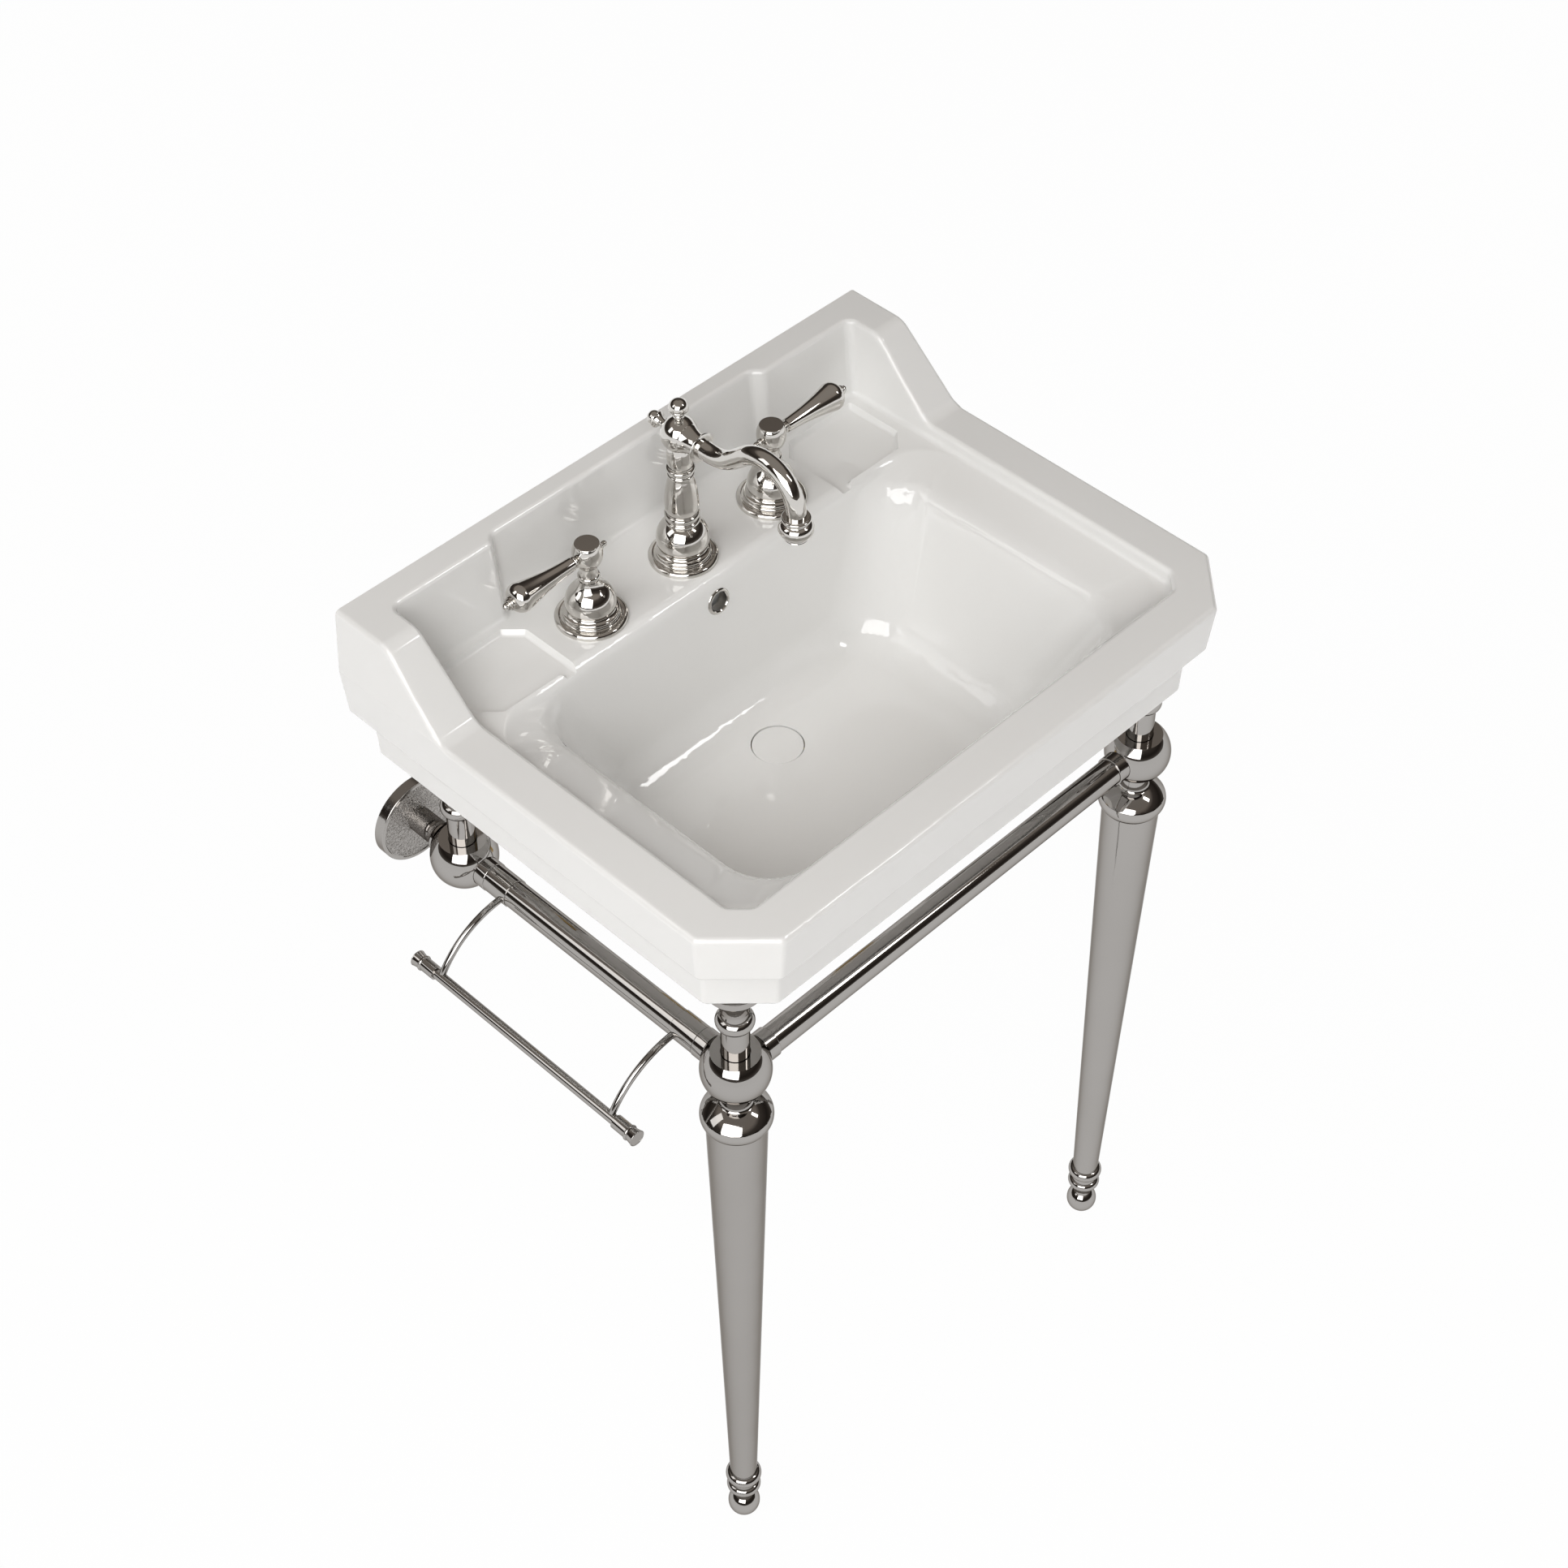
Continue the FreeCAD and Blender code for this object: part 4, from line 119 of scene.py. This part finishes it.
def surroundings():
    """The room by height, 0 at the horizon and 1 overhead: pale, dark and warm, then a ceiling."""
    world = bpy.data.worlds.new("room")
    bpy.context.scene.world = world
    world.use_nodes = True
    tree = world.node_tree
    sky = tree.nodes["Background"]
    sky.inputs["Strength"].default_value = ROOM_GLOW
    where = tree.nodes.new("ShaderNodeTexCoord")
    split = tree.nodes.new("ShaderNodeSeparateXYZ")
    ramp = tree.nodes.new("ShaderNodeValToRGB")
    tree.links.new(where.outputs["Generated"], split.inputs["Vector"])
    tree.links.new(split.outputs["Z"], ramp.inputs["Fac"])
    tree.links.new(ramp.outputs["Color"], sky.inputs["Color"])
    stops = ramp.color_ramp.elements
    for stop, (height, colour) in zip(stops, (ROOM_BY_HEIGHT[0], ROOM_BY_HEIGHT[-1])):
        stop.position = height
        stop.color = colour
    for height, colour in ROOM_BY_HEIGHT[1:-1]:
        stops.new(height).color = colour


ground()
surroundings()


# --- lamps and camera --------------------------------------------------------------------------
# Windows are mirrored by the glaze and the metal and light nothing. Softboxes light matt and
# glazed surfaces and aren't mirrored. Every lamp faces the middle of the object.
CENTRE = Vector((0.0, -0.22, -0.05))


def lamp(name, place, size, power, mirrored):
    """A rectangular area light that faces the object and that the camera doesn't see."""
    light = bpy.data.lights.new(name, "AREA")
    light.shape = "RECTANGLE"
    light.size, light.size_y = size
    light.energy = power
    item = bpy.data.objects.new(name, light)
    item.location = place
    item.rotation_euler = (CENTRE - Vector(place)).to_track_quat("-Z", "Y").to_euler()
    item.visible_glossy = mirrored
    item.visible_diffuse = not mirrored
    item.visible_camera = False
    bpy.context.scene.collection.objects.link(item)


for name, place, size, power in (
        ("window", (-2.52, -1.62, 1.75), (3.0, 2.6), 110),
        ("side_window", (-2.05, 0.95, 1.85), (0.9, 1.5), 7),
        ("small_window", (1.25, -1.75, 2.1), (0.35, 0.75), 7)):
    lamp(name, place, size, power, mirrored=True)
for name, place, width, power in (
        ("left_key", (-2.37, -2.25, 1.30), 2.0, 46),
        ("high_left", (-2.40, -0.22, 2.35), 2.0, 43),
        ("high_front", (-1.40, -1.97, 2.65), 2.0, 26),
        ("right_fill", (2.15, -2.37, 1.48), 2.0, 12),
        ("right_low", (3.20, 0.0, 0.75), 2.0, 16),
        ("back_low", (0.40, 3.10, 0.75), 2.0, 16),
        ("floor_bounce", (0.0, -0.22, FLOOR_LEVEL + 0.01), 2.5, 5)):
    lamp(name, place, (width, width), power, mirrored=False)

# The camera is the photograph's, solved from the straight edges of the basin and the legs.
camera = bpy.data.objects.new("camera", bpy.data.cameras.new("camera"))
camera.data.sensor_width = 36.0
camera.data.lens = 66.37
camera.data.clip_end = 60.0
camera.location = (-1.1953, -1.3757, 1.5895)
camera.rotation_euler = (radians(43.813), 0.0, radians(-45.406))
bpy.context.scene.collection.objects.link(camera)
bpy.context.scene.camera = camera
bpy.context.scene.view_settings.view_transform = "Standard"


# --- basin -------------------------------------------------------------------------------------
# One casting of fireclay under a thick white glaze. The glaze is hard and glossy, a little
# uneven where it has run, and slightly warmer where it lies thick.
NOISE_LOW, NOISE_HIGH = 0.3, 0.7
WELD_REACH = 0.00002
TRUE_EDGE = radians(32.0)


def uneven_group():
    """Broad and fine noise over a surface, each mostly between NOISE_LOW and NOISE_HIGH."""
    tree = bpy.data.node_groups.new("uneven_surface", "ShaderNodeTree")
    entry = tree.nodes.new("NodeGroupInput")
    leave = tree.nodes.new("NodeGroupOutput")
    where = tree.nodes.new("ShaderNodeTexCoord")
    for name, scale, detail in (("Broad", 6.0, 2.0), ("Fine", 60.0, 4.0)):
        socket = tree.interface.new_socket(
            name + " Scale", in_out="INPUT", socket_type="NodeSocketFloat")
        socket.default_value = scale
        tree.interface.new_socket(name, in_out="OUTPUT", socket_type="NodeSocketFloat")
        noise = tree.nodes.new("ShaderNodeTexNoise")
        noise.inputs["Detail"].default_value = detail
        tree.links.new(where.outputs["Object"], noise.inputs["Vector"])
        tree.links.new(entry.outputs[name + " Scale"], noise.inputs["Scale"])
        tree.links.new(noise.outputs["Fac"], leave.inputs[name])
    return tree


UNEVEN = uneven_group()


def relief(material, shader, height, strength, distance):
    """Raise the surface by a height that varies over it."""
    tree = material.node_tree
    ripple = tree.nodes.new("ShaderNodeBump")
    ripple.inputs["Strength"].default_value = strength
    ripple.inputs["Distance"].default_value = distance
    tree.links.new(height, ripple.inputs["Height"])
    tree.links.new(ripple.outputs["Normal"], shader.inputs["Normal"])


def uneven_finish(material, shader, broad, fine, dull, bump=None):
    """Vary roughness over the surface between the two values of dull, by noise at the fine scale.
    The broad noise comes back; bump, a strength and a distance, ripples the surface with it."""
    tree = material.node_tree
    uneven = tree.nodes.new("ShaderNodeGroup")
    uneven.node_tree = UNEVEN
    uneven.inputs["Broad Scale"].default_value = broad
    uneven.inputs["Fine Scale"].default_value = fine
    spread = tree.nodes.new("ShaderNodeMapRange")
    for name, value in (("From Min", NOISE_LOW), ("From Max", NOISE_HIGH),
                        ("To Min", dull[0]), ("To Max", dull[1])):
        spread.inputs[name].default_value = value
    tree.links.new(uneven.outputs["Fine"], spread.inputs["Value"])
    tree.links.new(spread.outputs["Result"], shader.inputs["Roughness"])
    if bump:
        relief(material, shader, uneven.outputs["Broad"], *bump)
    return uneven.outputs["Broad"]


def tint_by(material, shader, value, low, high):
    """Drift the base colour between two near tones."""
    tree = material.node_tree
    mix = tree.nodes.new("ShaderNodeMix")
    mix.data_type = "RGBA"
    mix.inputs["A"].default_value = low
    mix.inputs["B"].default_value = high
    tree.links.new(value, mix.inputs["Factor"])
    tree.links.new(mix.outputs["Result"], shader.inputs["Base Color"])


def dress(name, material):
    """Give a solid its finish, and smooth shading across everything but its true edges."""
    item = nodes[name]
    item.data.materials.clear()
    item.data.materials.append(material)
    item.data.shade_smooth()
    weld = item.modifiers.new("weld", "WELD")
    weld.merge_threshold = WELD_REACH
    split = item.modifiers.new("edges", "EDGE_SPLIT")
    split.split_angle = TRUE_EDGE
    split.use_edge_sharp = False
    normals = item.modifiers.new("normals", "WEIGHTED_NORMAL")
    normals.weight = 100
    normals.keep_sharp = True


glaze, shader = new_material("white_glaze")
broad = uneven_finish(glaze, shader, broad=9.0, fine=45.0, dull=(0.02, 0.05), bump=(0.06, 0.002))
tint_by(glaze, shader, broad, (0.775, 0.773, 0.76, 1), (0.805, 0.803, 0.79, 1))
shader.inputs["IOR"].default_value = 1.52
shader.inputs["Coat Weight"].default_value = 0.35
shader.inputs["Coat Roughness"].default_value = 0.02
dress("basin", glaze)


# --- waste and overflow ------------------------------------------------------------------------
# A brass flanged tube clamped through the bowl's floor, closed by a round glazed cap on a
# stem. The overflow hole has a plated ring pressed into it.
dress("waste_cap", glaze)

brass, shader = new_material("turned_brass")
broad = uneven_finish(brass, shader, broad=20.0, fine=400.0, dull=(0.22, 0.38),
                      bump=(0.10, 0.0005))
tint_by(brass, shader, broad, (0.62, 0.44, 0.20, 1), (0.74, 0.56, 0.29, 1))
shader.inputs["Metallic"].default_value = 1.0
for name in ("waste_body", "waste_stem", "waste_locknut"):
    dress(name, brass)

rubber, shader = new_material("black_rubber")
uneven_finish(rubber, shader, broad=60.0, fine=500.0, dull=(0.55, 0.75), bump=(0.3, 0.0005))
shader.inputs["Base Color"].default_value = (0.025, 0.025, 0.025, 1)
dress("waste_gasket", rubber)

nickel, shader = new_material("polished_nickel")
broad = uneven_finish(nickel, shader, broad=14.0, fine=220.0, dull=(0.025, 0.06),
                      bump=(0.02, 0.0006))
tint_by(nickel, shader, broad, (0.61, 0.59, 0.56, 1), (0.66, 0.64, 0.61, 1))
shader.inputs["Metallic"].default_value = 1.0
dress("overflow_ring", nickel)


# --- taps and spout ----------------------------------------------------------------------------
# Three turned and polished brass castings with a nickel skin: two lever valves and a spout,
# each held through its tap hole by a threaded shank, a rubber washer and a locknut.
THREAD_PITCH = 0.0018

threaded, shader = new_material("threaded_brass")
broad = uneven_finish(threaded, shader, broad=20.0, fine=400.0, dull=(0.25, 0.40))
tint_by(threaded, shader, broad, (0.60, 0.43, 0.20, 1), (0.72, 0.55, 0.28, 1))
shader.inputs["Metallic"].default_value = 1.0
tree = threaded.node_tree
where = tree.nodes.new("ShaderNodeTexCoord")
ridges = tree.nodes.new("ShaderNodeTexWave")
ridges.bands_direction = "Z"
# At scale 1 a wave texture has a band every pi / 10 units.
ridges.inputs["Scale"].default_value = pi / (10.0 * THREAD_PITCH)
tree.links.new(where.outputs["Object"], ridges.inputs["Vector"])
relief(threaded, shader, ridges.outputs["Fac"], strength=0.7, distance=0.0008)

for water in ("hot", "cold"):
    for piece in ("tap_base", "handle_hub", "lever", "hub_finial"):
        dress("%s_%s" % (water, piece), nickel)
    dress(water + "_valve_body", threaded)
    dress(water + "_valve_spindle", brass)
for piece in ("base", "column", "ball", "top_finial", "rear_finial", "collar", "tube"):
    dress("spout_" + piece, nickel)
dress("spout_shank", threaded)
dress("aerator_housing", nickel)
dress("tap_washers", rubber)
dress("tap_locknuts", brass)

plastic, shader = new_material("white_plastic")
uneven_finish(plastic, shader, broad=80.0, fine=600.0, dull=(0.35, 0.5), bump=(0.1, 0.0003))
shader.inputs["Base Color"].default_value = (0.75, 0.75, 0.74, 1)
dress("aerator_insert", plastic)


# --- stand -------------------------------------------------------------------------------------
# Turned feet, tapered tubular legs, flared caps, ball joints and rails, all polished and
# plated. Their nickel is painted darker than the taps': painted shade standing in for the
# dim floor and room that the stand mirrors.
def stand_finish_painted_shade(name, dull, bump=None):
    """Nickel painted darker than the taps', also at a glancing angle: painted shade for the dim
    floor and room that the stand mirrors.
    """
    material, shader = new_material(name)
    broad = uneven_finish(material, shader, broad=10.0, fine=260.0, dull=dull, bump=bump)
    # Painted shade: a base colour well below the taps' nickel, for the dim floor and room it
    # mirrors; the small drift between the two tones is random.
    tint_by(material, shader, broad, (0.37, 0.355, 0.34, 1), (0.41, 0.395, 0.38, 1))
    shader.inputs["Specular Tint"].default_value = (0.42, 0.40, 0.38, 1)
    shader.inputs["Metallic"].default_value = 1.0
    return material, shader


stand_nickel, shader = stand_finish_painted_shade("stand_nickel", dull=(0.03, 0.07), bump=(0.015, 0.0008))
for side in ("left", "right"):
    for piece in ("foot", "leg_cap", "front_ball", "rear_ball", "front_post", "rear_post",
                  "side_rail", "wall_stub"):
        dress("%s_%s" % (side, piece), stand_nickel)
dress("front_rail", stand_nickel)
dress("rail_collars", stand_nickel)

# The legs keep the fine lengthwise grain of the belt that polished them.
GRAIN_ACROSS, GRAIN_ALONG = 900.0, 9.0
leg_nickel_painted_shade, shader = stand_finish_painted_shade("leg_nickel_painted_shade", dull=(0.06, 0.12))
tree = leg_nickel_painted_shade.node_tree
where = tree.nodes.new("ShaderNodeTexCoord")
stretch = tree.nodes.new("ShaderNodeMapping")
stretch.inputs["Scale"].default_value = (GRAIN_ACROSS, GRAIN_ACROSS, GRAIN_ALONG)
grain = tree.nodes.new("ShaderNodeTexNoise")
grain.inputs["Scale"].default_value = 1.0
grain.inputs["Detail"].default_value = 3.0
tree.links.new(where.outputs["Object"], stretch.inputs["Vector"])
tree.links.new(stretch.outputs["Vector"], grain.inputs["Vector"])
relief(leg_nickel_painted_shade, shader, grain.outputs["Fac"], strength=0.10, distance=0.0002)
dress("left_leg", leg_nickel_painted_shade)
dress("right_leg", leg_nickel_painted_shade)


def vector_maths(tree, operation, first, second=None):
    """The output sockets of one vector maths node; first is a socket, second is a constant."""
    node = tree.nodes.new("ShaderNodeVectorMath")
    node.operation = operation
    tree.links.new(first, node.inputs[0])
    if second:
        node.inputs[1].default_value = second
    return node.outputs


# The round wall covers are cast: their flat face keeps a fine wormy grain inside a smooth rim.
# The distance from the cover's axis masks the grain, and folding X to its size serves both.
SMOOTH_RIM = 0.004
low, high = (Vector(corner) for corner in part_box("left_wall_flange"))
cover_radius = (high.z - low.z) / 2
cover_axis = (abs(low.x + high.x) / 2, 0.0, abs(low.z + high.z) / 2)
cast_nickel_painted_shade, shader = stand_finish_painted_shade("cast_nickel_painted_shade", dull=(0.08, 0.16))
tree = cast_nickel_painted_shade.node_tree
where = tree.nodes.new("ShaderNodeTexCoord")
worms = tree.nodes.new("ShaderNodeTexNoise")
worms.inputs["Scale"].default_value = 420.0
worms.inputs["Detail"].default_value = 2.0
worms.inputs["Distortion"].default_value = 1.2
tree.links.new(where.outputs["Object"], worms.inputs["Vector"])
folded = vector_maths(tree, "ABSOLUTE", where.outputs["Object"])["Vector"]
offset = vector_maths(tree, "SUBTRACT", folded, cover_axis)["Vector"]
across = vector_maths(tree, "MULTIPLY", offset, (1.0, 0.0, 1.0))["Vector"]
reach = vector_maths(tree, "LENGTH", across)["Value"]
inside = maths(tree, "LESS_THAN", reach, cover_radius - SMOOTH_RIM)
masked = maths(tree, "MULTIPLY", inside, worms.outputs["Fac"])
relief(cast_nickel_painted_shade, shader, masked, strength=0.9, distance=0.0015)
dress("left_wall_flange", cast_nickel_painted_shade)
dress("right_wall_flange", cast_nickel_painted_shade)

steel, shader = new_material("plain_steel")
uneven_finish(steel, shader, broad=30.0, fine=700.0, dull=(0.3, 0.45), bump=(0.1, 0.0004))
shader.inputs["Base Color"].default_value = (0.52, 0.52, 0.53, 1)
shader.inputs["Metallic"].default_value = 1.0
dress("wall_plates", steel)


# --- towel bar ---------------------------------------------------------------------------------
# A thin plated bar on two bent arms that are brazed to the left side rail, each through a
# short sleeve.
for name in ("rear_towel_arm", "front_towel_arm", "towel_sleeves", "towel_bar", "towel_bar_ends"):
    dress(name, stand_nickel)
